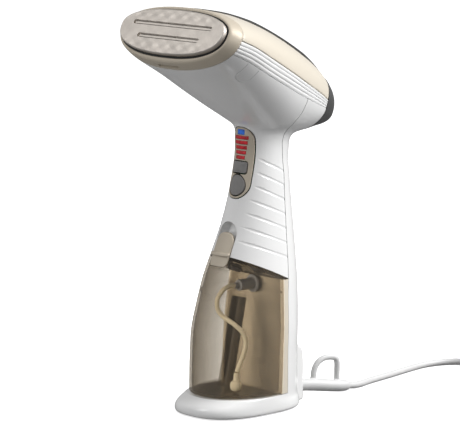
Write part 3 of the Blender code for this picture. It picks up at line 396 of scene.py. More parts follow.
def rod(name, points, radius, sides):
    """Round bar along points."""
    rings = []
    across = (points[1] - points[0]).normalized().orthogonal().normalized()
    for i, p in enumerate(points):
        ahead = (points[min(i + 1, len(points) - 1)] - points[max(i - 1, 0)]).normalized()
        across = (across - ahead * across.dot(ahead)).normalized()
        rings.append(circle(p, radius, sides, across, ahead.cross(across)))
    return loft(name, rings)


def combine(obj, other, operation):
    """Boolean of obj with other, which is used up."""
    modifier = obj.modifiers.new("cut", "BOOLEAN")
    modifier.operation = operation
    modifier.object = other
    modifier.solver = "MANIFOLD"
    bake(obj)
    bpy.data.objects.remove(other)
    return shade(obj)


def bake(obj):
    """Applies the object's modifiers."""
    bpy.context.view_layer.update()
    graph = bpy.context.evaluated_depsgraph_get()
    mesh = bpy.data.meshes.new_from_object(obj.evaluated_get(graph))
    obj.modifiers.clear()
    obj.data = mesh
    return obj


def cut(obj, other):
    return combine(obj, other, "DIFFERENCE")


def add(obj, other):
    return combine(obj, other, "UNION")


def keep(obj, other):
    return combine(obj, other, "INTERSECT")


def bore(obj, radius, start, end, origin, axis, **how):
    """Cuts a round hole in obj, from start to end along an axis."""
    return cut(obj, turned("bore", ((start, radius), (end, radius)), origin, axis, **how))


def join(objects):
    """One mesh of several closed bodies; the first object keeps its name."""
    bm = bmesh.new()
    for obj in objects:
        bm.from_mesh(obj.data)
    bm.to_mesh(objects[0].data)
    bm.free()
    for obj in objects[1:]:
        bpy.data.objects.remove(obj)
    return objects[0]


def remesh(obj, size):
    modifier = obj.modifiers.new("remesh", "REMESH")
    modifier.mode = "VOXEL"
    modifier.voxel_size = size * MM
    modifier.use_smooth_shade = True
    return bake(obj)


def vertex_array(mesh):
    places = np.empty(len(mesh.vertices) * 3)
    mesh.vertices.foreach_get("co", places)
    return places.reshape(-1, 3)


def working_places(obj):
    """The places of an object's vertices in the working frame."""
    return vertex_array(obj.data) / MM + np.array((0, ORIGIN_Y, GROUND))


def relax(obj, steps):
    """Moves vertices towards their neighbours' middle; steps lists (share for each vertex, factor)."""
    mesh = obj.data
    places = vertex_array(mesh)
    ends = np.empty(len(mesh.edges) * 2, np.int64)
    mesh.edges.foreach_get("vertices", ends)
    a, b = ends.reshape(-1, 2).T
    size = len(places)
    degree = np.bincount(a, minlength=size) + np.bincount(b, minlength=size)
    for share, factor in steps:
        total = np.stack([np.bincount(a, places[b, k], size) + np.bincount(b, places[a, k], size)
                          for k in range(3)], 1)
        places += (total / degree[:, None] - places) * (share * factor)[:, None]
    mesh.vertices.foreach_set("co", places.ravel())
    mesh.update()


def settle(obj):
    """Steps that take out a voxel grid's ripple without shrinking the body."""
    everywhere = np.ones(len(obj.data.vertices))
    return [(everywhere, factor) for factor in (0.5, -0.52) * 6]


def front_patch(name, half_width, low, high, outer, inner, round_top=0.0, round_low=0.0, rows=24, cols=16,
                edge=0.0):
    """Slab lying on the handle's front, with round corners and, with an edge radius, a rounded rim."""
    def half_at(z):
        half = half_width
        for radius, distance in ((round_top, high - z), (round_low, z - low)):
            if radius and distance < radius:
                half = half_width - radius + math.sqrt(max(radius**2 - (radius - distance)**2, 0))
        return max(half, 0.5)

    def point(z, share, layer):
        half = half_at(z)
        gap = min(half * (1 - abs(share)) + 0.02, high - z, z - low)
        lower = round_off((gap,), edge) if edge and layer == 0 else 0
        return front_point(half * share, z, (outer, inner)[layer] - lower)

    levels = [low + (high - low) * ease(i, rows) for i in range(rows + 1)]
    return sheet(name, levels, both_sides(cols), point)


# ---------------- materials ----------------
def feed(tree, node, sockets):
    """Gives each named or numbered input of a node its value, or links it to the output given."""
    for key, value in sockets.items():
        if isinstance(value, bpy.types.NodeSocket):
            tree.links.new(value, node.inputs[key])
        else:
            node.inputs[key].default_value = value


def add_node(tree, kind, output, sockets, **settings):
    """Output of a new node, whose settings are made before its inputs are fed."""
    node = tree.nodes.new("ShaderNode" + kind)
    for key, value in settings.items():
        setattr(node, key, value)
    feed(tree, node, sockets)
    return node.outputs[output]


PLASTIC_CLOUD = 18      # scale of the unevenness of moulded plastic


class Nodes:
    """Short way to add nodes to a material; its texture space is the object's own metres."""
    def __init__(self, name):
        self.mat = bpy.data.materials.new(name)
        self.mat.use_nodes = True
        self.tree = self.mat.node_tree
        self.shader = self.tree.nodes["Principled BSDF"]
        self.place = self.add("TexCoord", "Object", {})

    def add(self, kind, output, sockets, **settings):
        return add_node(self.tree, kind, output, sockets, **settings)

    def noise(self, scale, detail=3.0):
        return self.add("TexNoise", "Fac", {"Scale": scale, "Detail": detail, "Vector": self.place})

    def spread(self, value, low, high, lowest=0.3, highest=0.7):
        """Value taken from its usual range, which is 0.3 to 0.7 for a noise, to the range low to high."""
        return self.add("MapRange", "Result", {"Value": value, "From Min": lowest, "From Max": highest,
                                               "To Min": low, "To Max": high})

    def facing(self, blend_share, low, high):
        """Value that goes from low, where the surface is met straight on, to high at a slant."""
        return self.spread(self.add("LayerWeight", "Facing", {"Blend": blend_share}), low, high, 0, 1)

    def tint(self, fac, low, high):
        return self.add("Mix", 2, {0: fac, 6: (*low, 1), 7: (*high, 1)}, data_type="RGBA")

    def uneven(self, colour, vary, scale, detail):
        """Colour that is a little darker in some places and lighter in others."""
        cloud = self.spread(self.noise(scale, detail), 0, 1)
        return self.tint(cloud, scaled(colour, 1 - vary), scaled(colour, 1 + vary))

    def bump(self, height, distance):
        return self.add("Bump", "Normal", {"Distance": distance * MM, "Height": height})

    def put(self, **values):
        feed(self.tree, self.shader, {key.replace("_", " "): value for key, value in values.items()})
        return self.mat


def scaled(colour, factor):
    return tuple(min(c * factor, 1.0) for c in colour)


def plastic(name, colour, roughness, grain=900, relief=0.01, vary=0.03, coat=0.0, metallic=0.0):
    """Moulded plastic: a little uneven in colour and gloss, with a fine surface grain."""
    m = Nodes(name)
    base = m.uneven(colour, vary, PLASTIC_CLOUD, 4)
    rough = m.spread(m.noise(PLASTIC_CLOUD * 1.5, 1), roughness * 0.92, roughness * 1.08)
    normal = m.bump(m.noise(grain, 2), relief)
    return m.put(Base_Color=base, Roughness=rough, Normal=normal, Metallic=metallic, Coat_Weight=coat,
                 Coat_Roughness=0.06)


def metal(name, colour, roughness, grain, relief, vary):
    m = Nodes(name)
    base = m.uneven(colour, vary, 60, 5)
    rough = m.spread(m.noise(400, 4), roughness * 0.8, roughness * 1.2)
    normal = m.bump(m.noise(grain, 3), relief)
    return m.put(Base_Color=base, Roughness=rough, Normal=normal, Metallic=1.0)


def smoked(name, through, body, solid):
    """Smoked clear plastic: light passes, tinted more where it goes through at a slant, and the rest meets a
    brown gloss surface."""
    m = Nodes(name)
    base = m.uneven(body, 0.05, 40, 3)
    rough = m.spread(m.noise(220), 0.05, 0.09)
    m.put(Base_Color=base, Roughness=rough, Specular_IOR_Level=0.9, Coat_Weight=1.0, Coat_Roughness=0.03)
    tint = m.add("Gamma", "Color", {"Color": (*through, 1), "Gamma": m.facing(0.5, 1, OBLIQUE_DEPTH)})
    pane = m.add("BsdfTransparent", "BSDF", {"Color": tint})
    mix = m.add("MixShader", "Shader", {0: m.facing(0.1, solid, 1), 1: pane, 2: m.shader.outputs["BSDF"]})
    feed(m.tree, m.tree.nodes["Material Output"], {"Surface": mix})
    return m.mat


def glowing(name, colour, glow, power):
    """Tinted lens with a little light of its own."""
    m = Nodes(name)
    spots = m.spread(m.noise(420, 1), 0, 1)
    base = m.tint(spots, scaled(colour, 0.55), colour)
    light = m.tint(spots, scaled(glow, 0.35), glow)
    return m.put(Base_Color=base, Roughness=0.4, Coat_Weight=0.15, Coat_Roughness=0.1, Emission_Color=light,
                 Emission_Strength=power)


def circuit_board(name):
    m = Nodes(name)
    tracks = m.add("TexBrick", "Color", {"Scale": 260, "Vector": m.place, "Color1": (0.01, 0.11, 0.045, 1),
                                         "Color2": (0.015, 0.16, 0.06, 1), "Mortar": (0.05, 0.25, 0.1, 1)})
    return m.put(Base_Color=tracks, Roughness=0.4)


FINISHES = (
    # maker and name, then the values in its own order
    (plastic, "white_plastic", (0.80, 0.80, 0.795), 0.16, 160, 0.012, 0.012, 0.35),
    (plastic, "cream_plastic", (0.64, 0.585, 0.49), 0.3, 500, 0.002, 0.012, 0.15),
    (plastic, "champagne_plastic", (0.52, 0.46, 0.37), 0.46, 2600, 0.006, 0.03, 0.0, 0.2),
    (metal, "plate_metal", (0.68, 0.63, 0.575), 0.47, 1700, 0.02, 0.08),
    (plastic, "dark_grey_plastic", (0.05, 0.05, 0.049), 0.42, 2200, 0.03, 0.06),
    (plastic, "grey_plastic", (0.20, 0.195, 0.19), 0.42, 2000, 0.01, 0.06),
    (plastic, "black_plastic", (0.02, 0.02, 0.02), 0.45, 2200, 0.02, 0.1),
    (plastic, "black_rubber", (0.018, 0.018, 0.018), 0.7, 2600, 0.04, 0.15),
    (metal, "cast_aluminium", (0.58, 0.58, 0.57), 0.5, 900, 0.08, 0.08),
    (metal, "steel", (0.62, 0.62, 0.61), 0.28, 2200, 0.01, 0.04),
    (metal, "brass", (0.80, 0.63, 0.34), 0.24, 1800, 0.008, 0.05),
    (smoked, "smoke_clear", (0.812, 0.798, 0.775), (0.50, 0.43, 0.34), 0.05),
    (plastic, "clear_hose", (0.70, 0.61, 0.43), 0.25, 700, 0.01, 0.04, 0.5),
    (glowing, "blue_lens", (0.02, 0.10, 0.45), (0.05, 0.25, 1.0), 0.25),
    (glowing, "red_lens", (0.45, 0.012, 0.02), (1.0, 0.03, 0.04), 0.15),
    (circuit_board, "board_green"),
    (plastic, "cord_white", (0.62, 0.62, 0.617), 0.45, 900, 0.03, 0.02),
)
MATS = {name: maker(name, *values) for maker, name, *values in FINISHES}


# ---------------- placing pieces in the frame ----------------
SLOT_OF = {part["node"]: part["material_slot"] for part in frame["record"]["subparts"]}
BODY_OF = {node: body for body, nodes in frame["record"]["behaviour"]["bodies"].items() for node in nodes}
replaced = set()


def stand_for(piece, *nodes, finish=None):
    """The piece is shown in place of CAD nodes: it rides with the first and takes its finish."""
    slot = SLOT_OF[nodes[0]]
    piece.name = nodes[0] + "_fine"
    piece.data.materials.clear()
    piece.data.materials.append(MATS[finish or slot])
    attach(piece, BODY_OF[nodes[0]])
    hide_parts(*nodes)
    replaced.update(nodes)
    return piece


def finish_the_rest():
    """CAD nodes that stay in view get the material of their slot."""
    for name, obj in frame["nodes"].items():
        if name not in replaced:
            obj.data.materials.clear()
            obj.data.materials.append(MATS[SLOT_OF[name]])


# ---------------- camera, floor and light ----------------
CAMERA_AZIMUTH = math.radians(48)
CAMERA_AWAY, CAMERA_HEIGHT, AIM_HEIGHT = 2.34, 0.5217, 0.1567
LENS_TO_WIDTH = 2980 / 460
VIEW_SHIFT = -13 / 460
WHITE = (1, 1, 1, 1)
FLOOR_REACH = 6.0
IN_TANK = ("pickup_guide", "pickup_hose", "hose_weight", "tank_valve")
# name, place, height aimed at, size, power, whether reflections show it, nodes it reaches if not all
LIGHTS = (("key", (-0.9, -1.5, 1.6), 0.18, (0.9, 0.9), 8, True, ()),
          ("low", (-0.7, -1.8, 0.02), 0.25, (1.4, 0.5), 14, False, ()),
          ("side", (1.25, 1.05, 1.5), 0.18, (1.5, 1.5), 62, True, ()),
          ("top", (0.1, 0.1, 1.9), 0.2, (1.2, 1.2), 4, True, ()),
          ("wall_fill", (-0.35, -1.2, 0.14), 0.08, (1.2, 0.8), 240, False, ("spine_cover",)),
          ("hose_fill", (0.15, -1.2, 0.16), 0.08, (1.2, 0.8), 45, False, IN_TANK))


def turn_to(obj, aim):
    obj.rotation_euler = (Vector(aim) - obj.location).to_track_quat("-Z", "Y").to_euler()


def make_camera():
    data = bpy.data.cameras.new("camera")
    data.sensor_width = 36
    data.lens = LENS_TO_WIDTH * data.sensor_width
    data.shift_x = VIEW_SHIFT
    camera = new_object("camera", data)
    centre_y = -ORIGIN_Y * MM
    camera.location = (CAMERA_AWAY * math.sin(CAMERA_AZIMUTH),
                       centre_y - CAMERA_AWAY * math.cos(CAMERA_AZIMUTH), CAMERA_HEIGHT)
    turn_to(camera, (0, centre_y, AIM_HEIGHT))
    bpy.context.scene.camera = camera


def area_light(name, place, aim_height, size, power, glossy, lit):
    """Soft lamp in metres and watts; lit names the nodes that it reaches, if it doesn't reach all."""
    data = bpy.data.lights.new(name, "AREA")
    data.shape = "RECTANGLE"
    data.size, data.size_y = size
    data.energy = power
    light = new_object(name, data)
    light.location = place
    turn_to(light, (0, 0, aim_height))
    light.visible_glossy = glossy
    if lit:
        light.light_linking.receiver_collection = bpy.data.collections.new(name)
        for node in lit:
            light.light_linking.receiver_collection.objects.link(bpy.data.objects[node + "_fine"])


def plain_floor(name, depth, tone, glow=0.0):
    mesh = bpy.data.meshes.new(name)
    corners = [(x * FLOOR_REACH, y * FLOOR_REACH, 0) for x, y in ((-1, -1), (1, -1), (1, 1), (-1, 1))]
    mesh.from_pydata(corners, [], [(0, 1, 2, 3)])
    floor = new_object(name, mesh)
    floor.location.z = -depth
    m = Nodes(name)
    base = m.uneven((tone,) * 3, 0.01, 3, 2)
    mesh.materials.append(m.put(Base_Color=base, Roughness=0.9, Emission_Color=WHITE, Emission_Strength=glow))
    return floor


def make_stage():
    """White floor and background for the camera, grey surroundings for reflections, soft studio lights."""
    seen = plain_floor("floor", 0.0003, 0.9, glow=0.75)
    seen.visible_diffuse = seen.visible_glossy = False
    under = plain_floor("floor_below", 0.001, 0.42)
    under.visible_camera = under.visible_transmission = False

    world = bpy.data.worlds.new("studio")
    bpy.context.scene.world = world
    world.use_nodes = True
    tree = world.node_tree
    white = tree.nodes["Background"]
    feed(tree, white, {"Color": WHITE, "Strength": 1.0})
    dim = add_node(tree, "Background", "Background", {"Color": (0.99, 0.99, 1, 1), "Strength": 0.42})
    rays = tree.nodes.new("ShaderNodeLightPath").outputs
    looking = add_node(tree, "Math", 0, {0: rays["Is Camera Ray"], 1: rays["Is Transmission Ray"]},
                       operation="MAXIMUM")
    mix = add_node(tree, "MixShader", "Shader", {0: looking, 1: dim, 2: white.outputs["Background"]})
    feed(tree, tree.nodes["World Output"], {"Surface": mix})
    for light in LIGHTS:
        area_light(*light)
    bpy.context.scene.view_settings.view_transform = "Standard"


# ---------------- shells ----------------
def cover_edge(s):
    """Angle of the top cover's lower edge on the head."""
    return 0.6 + 0.11 * (s - 13)


def trim_edge(s):
    """Angle of the rib trim's lower edge, where the lower shells begin."""
    return -21.0 + 0.16 * (s - 15)


def strip_edge(s):
    """Angle of the near edge of the strip along the top of the head."""
    return 77.5 - 0.025 * (s - 15)


def shell_edge(y):
    """Height of the front shell's lower edge, which falls to the rear."""
    return SHELL_EDGE_Z - SHELL_EDGE_SLOPE * (y - SHELL_EDGE_Y)


def head_solid(name, out, start, end):
    return loft(name, [head_ring(s, out) for s in spaced(start, end, 2)])


def handle_solid(name, out, low=7, high=232, step=2.2):
    return loft(name, [handle_ring(z, out) for z in spaced(low, high, step)])


def foot_solid(name, inset=0.0, drop=0.0):
    def point(angle, half, front, rear, roundness):
        return super_xy(angle, half - inset, (rear if angle < 180 else front) - inset, roundness)

    rings = []
    for z in spaced(FOOT[0][0], TANK_FLOOR, 0.6):
        row = smooth_row(FOOT, z)
        places = [point(360 * i / ROUND_COUNT, *row) for i in range(ROUND_COUNT)]
        rings.append([Vector((x, FOOT_CENTRE_Y + y, z - drop)) for x, y in places])
    return loft(name, rings)


def box_solid(name, inset=0.0):
    """Box on the rear of the foot, with a sloping face for the switch and an upright one for the cord."""
    low = GROUND + 0.8 if inset == 0 else GROUND - 4
    rear = BOX_REAR - inset
    outline = [(24, low), (rear, low), (rear, 28.3 - inset * 0.3), (50.9 - inset, 42.2 - inset * 0.4),
               (46.5 - inset * 0.6, BOX_TOP - inset), (24, BOX_TOP - inset)]
    near, far, corner = 20, BOX_REAR + 1, 52.5
    half = [BOX_HALF - inset + BOX_WIDEN * (BOX_REAR - y) for y in (near, corner)]
    right = [(half[0], near), (half[1], corner), (half[1] - 2.2, far - 2.4), (half[1] - 4.5, far)]
    plan = right + [(-x, y) for x, y in reversed(right)]
    return keep(side_prism(name, outline, 40), loft("plan", [[Vector((x, y, z)) for x, y in plan]
                                                             for z in (-10, 60)]))


def crown_cutter():
    """Everything of the head's skin above the edge of the rib trims."""
    def point(s, i, layer):
        return on_head(s, trim_edge(s) + (180 - 2 * trim_edge(s)) * i / 60, (6, -9)[layer])

    return sheet("crown", spaced(8, 163, 2.5), range(61), point)


def head_block(name, start, end, low, high):
    """Box between two stations of the head and two heights above its axis."""
    return loft(name, [[in_head(x, s, u) for x, u in ((90, low), (90, high), (-90, high), (-90, low))]
                       for s in (start, end)])


def seam_outline(shift, side):
    """Region in front of (side -1) or behind (side 1) the seam, moved by shift."""
    line = [(y + shift, z) for y, z in SEAM]
    if side < 0:
        low, far = SHELL_REAR_Y + shift, -150
        clipped = [p for p in line if p[1] > shell_edge(low)]
        return clipped + [(low, shell_edge(low)), (far, shell_edge(far)), (far, 335)]
    return line + [(-150, TANK_FLOOR - 0.1), (-150, -20), (220, -20), (220, 335)]


def skin_distances(obj):
    """For each vertex, its place in the working frame and its distances to the head's and handle's skins."""
    p = working_places(obj)
    away = p - np.array(FACE_CENTRE)
    along, height = away @ np.array(AXIS), away @ np.array(UP)

    def columns(table, first, last, where):
        stations = np.arange(first, last)
        rows = np.array([smooth_row(table, s) for s in stations])
        return [np.interp(where, stations, column) for column in rows.T]

    def distance(a, b, size_a, size_b, power):
        far = ((np.abs(a) / size_a)**power + (np.abs(b) / size_b)**power)**(1 / power)
        return (far - 1) / np.maximum(far, 0.05) * np.hypot(a, b)

    middle, half, above, below, roundness = columns(HEAD, HEAD[0][0], HEAD_END, along)
    centre, wide, deep = columns(HANDLE, HANDLE[0][0], HANDLE[-1][0], p[:, 2])
    over = height - middle
    to_head = distance(p[:, 0], over, half, np.where(over > 0, above, below), roundness)
    to_handle = distance(p[:, 0], p[:, 1] - centre, wide, deep, HANDLE_ROUND)
    return p, to_head, to_handle


def make_skin():
    """Outer form of head, handle, foot and rear box in one piece, with soft inner corners."""
    skin = remesh(join([head_solid("skin", 0, 6, 175), handle_solid("handle", 0), box_solid("box"),
                        foot_solid("foot")]), SKIN_GRID)
    relax(skin, settle(skin))
    p, to_head, to_handle = skin_distances(skin)
    neck = np.clip(1 - np.hypot(to_head, to_handle) / NECK_SOFT, 0, 1)
    heel = np.clip(1 - np.abs(p[:, 2] - TANK_FLOOR) / HEEL_SOFT, 0, 1) * (p[:, 1] > 15)
    box = ((p[:, 1] > 36) & (p[:, 2] < 52)).astype(float)
    relax(skin, [(neck, 0.5)] * 60 + [(heel, 0.5)] * 15 + [(box, 0.5)] * 3)
    return skin


def side_point(y, z, out, side):
    """Point over the handle's flank at a given y and height."""
    centre, half, depth = smooth_row(HANDLE, z)
    share = max(min((y - centre) / depth, 0.999), -0.999)
    x = half * (1 - abs(share)**HANDLE_ROUND)**(1 / HANDLE_ROUND)
    power = HANDLE_ROUND - 1
    outward = Vector(((x / half)**power / half, math.copysign(abs(share)**power / depth, share), 0))
    p = Vector((x, y, z)) + outward.normalized() * out
    return Vector((p.x * side, p.y, p.z))


def grip_grooves():
    """Cutters for the shallow grooves on each flank of the handle, which fall to the seam."""
    cutters = []
    for i in range(GROOVES):
        high, low = 201.5 - 10.6 * i, 188.0 - 11.5 * i
        start = front_point(12.5 if i < 3 else 10.2, high).y
        for side in (1, -1):
            path = []
            for k in range(25):
                f = k / 24
                # the first part runs out of the surface, so that each groove begins gently
                out = 2.22 + 0.5 * max(1 - f / 0.2, 0)**2
                path.append(side_point(start + (29.5 - start) * f, high + (low - high) * f**0.9, out, side))
            cutters.append(rod("groove", path, 2.5, 32))
    return cutters


def small_slider_lines():
    """Cutters for the thin U on each side of the head."""
    legs = ((35.0, -19.5, 0), (35.2, -27, 0), (35.6, -35, 0), (37.6, -40.6, 0), (42.6, -42.6, 0),
            (47.4, -39.6, 0), (49.4, -34, 0), (49.6, -26, 0), (49.6, -17.5, 0))
    line = smooth_curve(legs, 0.8)
    return [rod("slider_line", [on_head(s, first + way * angle, 0.1) for s, angle, _ in line], 0.48, 8)
            for first, way in ((0, 1), (180, -1))]


def panel_slab(name, grow, outer, inner, edge=0.0):
    low, high = PANEL_LOW - grow, PANEL_HIGH + grow
    return front_patch(name, PANEL_HALF + grow, low, high, outer, inner, round_top=10.5, round_low=11,
                       rows=48, cols=32, edge=edge)


def make_seam_shade(skin):
    """Painted shade: a dark strip laid a little below the shells' skin along the seam between them."""
    tree = BVHTree.FromObject(skin, bpy.context.evaluated_depsgraph_get())
    line = smooth_curve([(0, y, z) for y, z in SEAM[::-1] if 100 < z < 250], 2)
    runs = []
    for side in (1, -1):
        path = []
        for _, y, z in line:
            hit = tree.ray_cast(Vector(to_metres((side * 90, y, z))), Vector((-side, 0, 0)))
            place = hit[0] - hit[1] * SEAM_SHADE_DEPTH * MM
            path.append(Vector((place.x / MM, place.y / MM + ORIGIN_Y, place.z / MM + GROUND)))
        runs.append(rod("seam_shade", path, SEAM_SHADE_RADIUS, 10))
    seam_shade = join(runs)
    # dark grey strip: painted shade in the seam, standing for the shadow inside the gap
    seam_shade.name = "seam_shade_strip"
    seam_shade.data.materials.append(MATS["dark_grey_plastic"])
    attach(seam_shade, "housing")


def make_shells():
    """Front shell and rear shell with its foot, cut from the common skin."""
    body = make_skin()
    # dark strip in the seam between the shells, as painted shade
    make_seam_shade(body)
    cut(body, head_block("front_end", -30, BEZEL_BACK + GAP, -60, 60))
    cut(body, head_block("rear_end", HEEL_FRONT, 200, -30, 60))
    spine = handle_solid("spine", -WALL)
    keep(spine, side_prism("spine_side", [(12, -20), (12, 100), (-150, 116), (-150, 400), (220, 400),
                                          (220, -20)], 120))
    for hollow in (head_solid("head_hollow", -WALL, 5, HEEL_FRONT + 6), spine, box_solid("box_hollow", WALL),
                   foot_solid("foot_hollow", WALL, WALL), crown_cutter()):
        cut(body, hollow)
    front = new_object("front_shell", body.data.copy())
    keep(body, side_prism("rear_side", seam_outline(SEAM_GAP / 2, 1), 150))
    keep(front, side_prism("front_side", seam_outline(-SEAM_GAP / 2, -1), 150))

    tray_half, tray_low = RECESS_HALF + TRAY_WALL, LATCH_LOW - 8
    tray = front_patch("tray", tray_half, tray_low, RECESS_HIGH + TRAY_WALL, -0.6, -RECESS_DEPTH - 1.6,
                       round_top=tray_half)
    keep(tray, side_prism("tray_side", seam_outline(-GAP / 2, -1), 150))
    add(front, tray)
    cut(front, front_patch("recess", RECESS_HALF, tray_low - 6, RECESS_HIGH, 6, -RECESS_DEPTH,
                           round_top=RECESS_HALF, rows=48, cols=32))
    cut(front, panel_slab("panel_hole", GAP, 5, -8))
    for cutter in grip_grooves() + small_slider_lines():
        cut(front, cutter)
    bore(body, SWITCH_RADIUS + SWITCH_RIM + GAP, -9, 9, SWITCH_CENTRE, SWITCH_AXIS)
    bore(body, 4.0, -9, 6, (0, BOX_REAR, RELIEF[0][2]), REARWARD)
    for z in REAR_SCREWS:
        bore(body, 3.4, -9, 5, (0, on_handle(z, 90).y, z), REARWARD)
    stand_for(front, "front_shell")
    stand_for(body, "rear_shell")


# ---------------- head ----------------
def head_patch(name, steps, low_of, high_of, cols, height, depth, edge, even=False, fade=None):
    """Slab lying on the head between two edge angles, with its rim rounded by an edge radius.

    fade gives the lengths over which it rises from its front end and sinks to its rear end.
    """
    grids = [[], []]
    for s in steps:
        low, high = low_of(s), high_of(s)
        marks = [on_head(s, low + (high - low) * i / 16) for i in range(17)]
        length = sum((b - a).length for a, b in zip(marks, marks[1:]))
        ends = s - steps[0], steps[-1] - s
        full = 0.25 + 0.75 * min(ends[0] / fade[0], ends[1] / fade[1], 1) if fade else 1
        top, bottom = [], []
        for c in range(cols + 1):
            share = c / cols if even else ease(c, cols)
            lower = round_off((share * length, (1 - share) * length, min(ends)), edge)
            angle = low + (high - low) * share
            top.append(on_head(s, angle, height(share) * full - lower * full))
            bottom.append(on_head(s, angle, depth))
        grids[0].append(top)
        grids[1].append(bottom)
    return slab(name, *grids)


def rib_height(share):
    """Profile across the rib trim: four round ribs side by side."""
    return 0.55 * abs(math.sin(math.pi * 4 * share))**0.6 - 0.55


def make_head_trim():
    steps = edge_steps(BEZEL_BACK + GAP, HEEL_FRONT - GAP, 1.6, 0.9)
    stand_for(head_patch("cover", steps, lambda s: cover_edge(s) + GAP, lambda s: 180 - cover_edge(s) - GAP,
                         110, lambda share: 0, -WALL, 0.9), "top_cover")
    for node, low_of, high_of in (
            ("rib_trim_right", lambda s: trim_edge(s) + 0.25, lambda s: cover_edge(s) - GAP),
            ("rib_trim_left", lambda s: 180 - cover_edge(s) + GAP, lambda s: 179.75 - trim_edge(s))):
        stand_for(head_patch("ribs", steps, low_of, high_of, 64, rib_height, -WALL, 0.25, even=True), node)
    # dark strip along the crest: a raised part whose dark colour also stands for the glancing reflection
    # there, as painted reflection
    stand_for(head_patch("strip", steps, strip_edge, lambda s: 180 - strip_edge(s), 40,
                         lambda share: STRIP_HEIGHT, GAP, 1.0, fade=STRIP_FADE), "ridge_strip")


def make_heel():
    """Bumper over the rear end of the head, from a neck inside the shells to its domed tip."""
    front = HEEL_FRONT + GAP
    rings = [head_ring(s, -2.6) for s in (174, 168, front)]
    rings += [head_ring(front + d, HEEL_PROUD - round_off((d,), 0.6)) for d in (0, 0.08, 0.25, 0.6)]
    rings += [head_ring(s, HEEL_PROUD) for s in spaced(160, HEAD_END, 1)]
    tip = head_ring(HEAD_END, HEEL_PROUD)
    middle = sum(tip, Vector()) / len(tip)
    for share, further in ((0.9, 0.5), (0.7, 1.0), (0.4, 1.3), (0.02, 1.4)):
        rings.append([middle.lerp(p, share) + AXIS * further for p in tip])
    stand_for(loft("heel", rings), "heel_bumper")


def plate_rim(x, u):
    """Distance from a point of the plate to its rim."""
    width, above, below, power = PLATE
    high = above if u > 0 else below
    f = ((abs(x) / width)**power + (abs(u) / high)**power)**(1 / power)
    if f < 0.05:
        return below
    steep = math.hypot((abs(x) / width)**(power - 1) / width, (abs(u) / high)**(power - 1) / high)
    return max((1 - f) / (steep / f**(power - 1)), 0)


def quilt(x, u):
    """Faint diamond relief of the steam plate, strongest towards its upper and lower borders."""
    a, b = x / 14 + u / 10, x / 14 - u / 10
    facets = 0.5 * (abs(2 * (a - math.floor(a)) - 1) + abs(2 * (b - math.floor(b)) - 1))
    border = min(max((abs(u + 2.2) - 6) / 6, 0), 1)
    return (0.10 + 0.28 * border) * facets * min(plate_rim(x, u) / 3, 1)


def make_plate():
    width, above, below, power = PLATE

    def point(v, w, layer):
        x = width * w
        u = v * (above if v > 0 else below) * max(1 - abs(w)**power, 1e-4)**(1 / power)
        return in_head(x, PLATE_DEPTH if layer else round_off((plate_rim(x, u),), 1.3) + quilt(x, u), u)

    plate = sheet("plate", both_sides(64), both_sides(200), point)
    for u, half in SLOTS:
        cut(plate, prism("ledge", rounded_outline(2 * half, SLOT_HEIGHT, SLOT_HEIGHT / 2 - 0.05, 8),
                         in_head(0, -3, u), SIDE, UP, AXIS * 4.3))
        for side in (-1, 1):
            cut(plate, prism("slit", rounded_outline(2 * half - 3.4, 0.55, 0.25, 4),
                             in_head(0, -3, u + side * 1.1), SIDE, UP, AXIS * 12))
    stand_for(plate, "steam_plate")


def make_bezel():
    def lip_ring(s, share):
        return [a.lerp(b, share) for a, b in zip(plate_ring(s, 1.1), head_ring(s, 0, FACE_COUNT))]

    rings = [plate_ring(s, 1.8) for s in (BEZEL_BACK, 11, 8, 5.9)]
    rings += [lip_ring(s, share) for s, share in (
        (5.3, 0), (4.8, 0.015), (4.35, 0.06), (4.05, 0.14), (3.9, 0.28), (3.9, 0.45), (4.05, 0.62),
        (4.4, 0.78), (4.9, 0.9), (5.6, 0.97))]
    rings += [head_ring(s, out, FACE_COUNT) for s, out in (
        (6.5, -0.03), (7.6, 0), (9, 0), (11, 0), (13, 0), (BEZEL_BACK - 0.5, 0), (BEZEL_BACK - 0.15, -0.1),
        (BEZEL_BACK, -0.35))]
    bezel = loft("bezel", rings, closed=True)
    cut(bezel, sheet("slit", spaced(8.8, 11.8, 0.5), spaced(-97, -80, 0.7),
                     lambda s, angle, layer: on_head(s, angle, (2, -2.8)[layer])))
    stand_for(bezel, "nozzle_bezel")


def make_gasket():
    near, far = PLATE_DEPTH + GAP, PLATE_DEPTH + 2
    gasket = [plate_ring(s, grow) for s, grow in ((near, 1.3), (far, 1.3), (far, -3.6), (near, -3.6))]
    stand_for(loft("gasket", gasket, closed=True), "plate_gasket")


# ---------------- panel and latch ----------------
def egg_outline(width, height, count=72):
    """Oval that is a little narrower at its top."""
    turns = [math.tau * i / count for i in range(count)]
    return [(width / 2 * (1 - 0.07 * math.sin(a)) * math.cos(a), height / 2 * math.sin(a)) for a in turns]


def press_direction(z):
    """Unit vector into the handle's front at a height, and the one up along it."""
    up = (front_point(0, z + 6) - front_point(0, z - 6)).normalized()
    return SIDE.cross(up) * -1, up


def make_windows(panel):
    """Lens of the lamp and the five bars, each in its own hole of the panel."""
    windows = [("ready_lamp", LAMP_Z, LAMP_WIDTH, LAMP_HEIGHT)]
    windows += [(f"level_bar_{i + 1}", BAR_TOP - BAR_PITCH * i, 2 * BAR_HALF - i * BAR_STEP, BAR_HEIGHT)
                for i in range(5)]
    for name, z, width, height in windows:
        cut(panel, front_patch("hole", width / 2 + WINDOW_GAP, z - height / 2 - WINDOW_GAP,
                               z + height / 2 + WINDOW_GAP, 3, -5, rows=4, cols=16))
        stand_for(front_patch("window", width / 2, z - height / 2, z + height / 2, 0.35, -1.9, 0.3, 0.3,
                              rows=10, cols=20, edge=0.3), name)


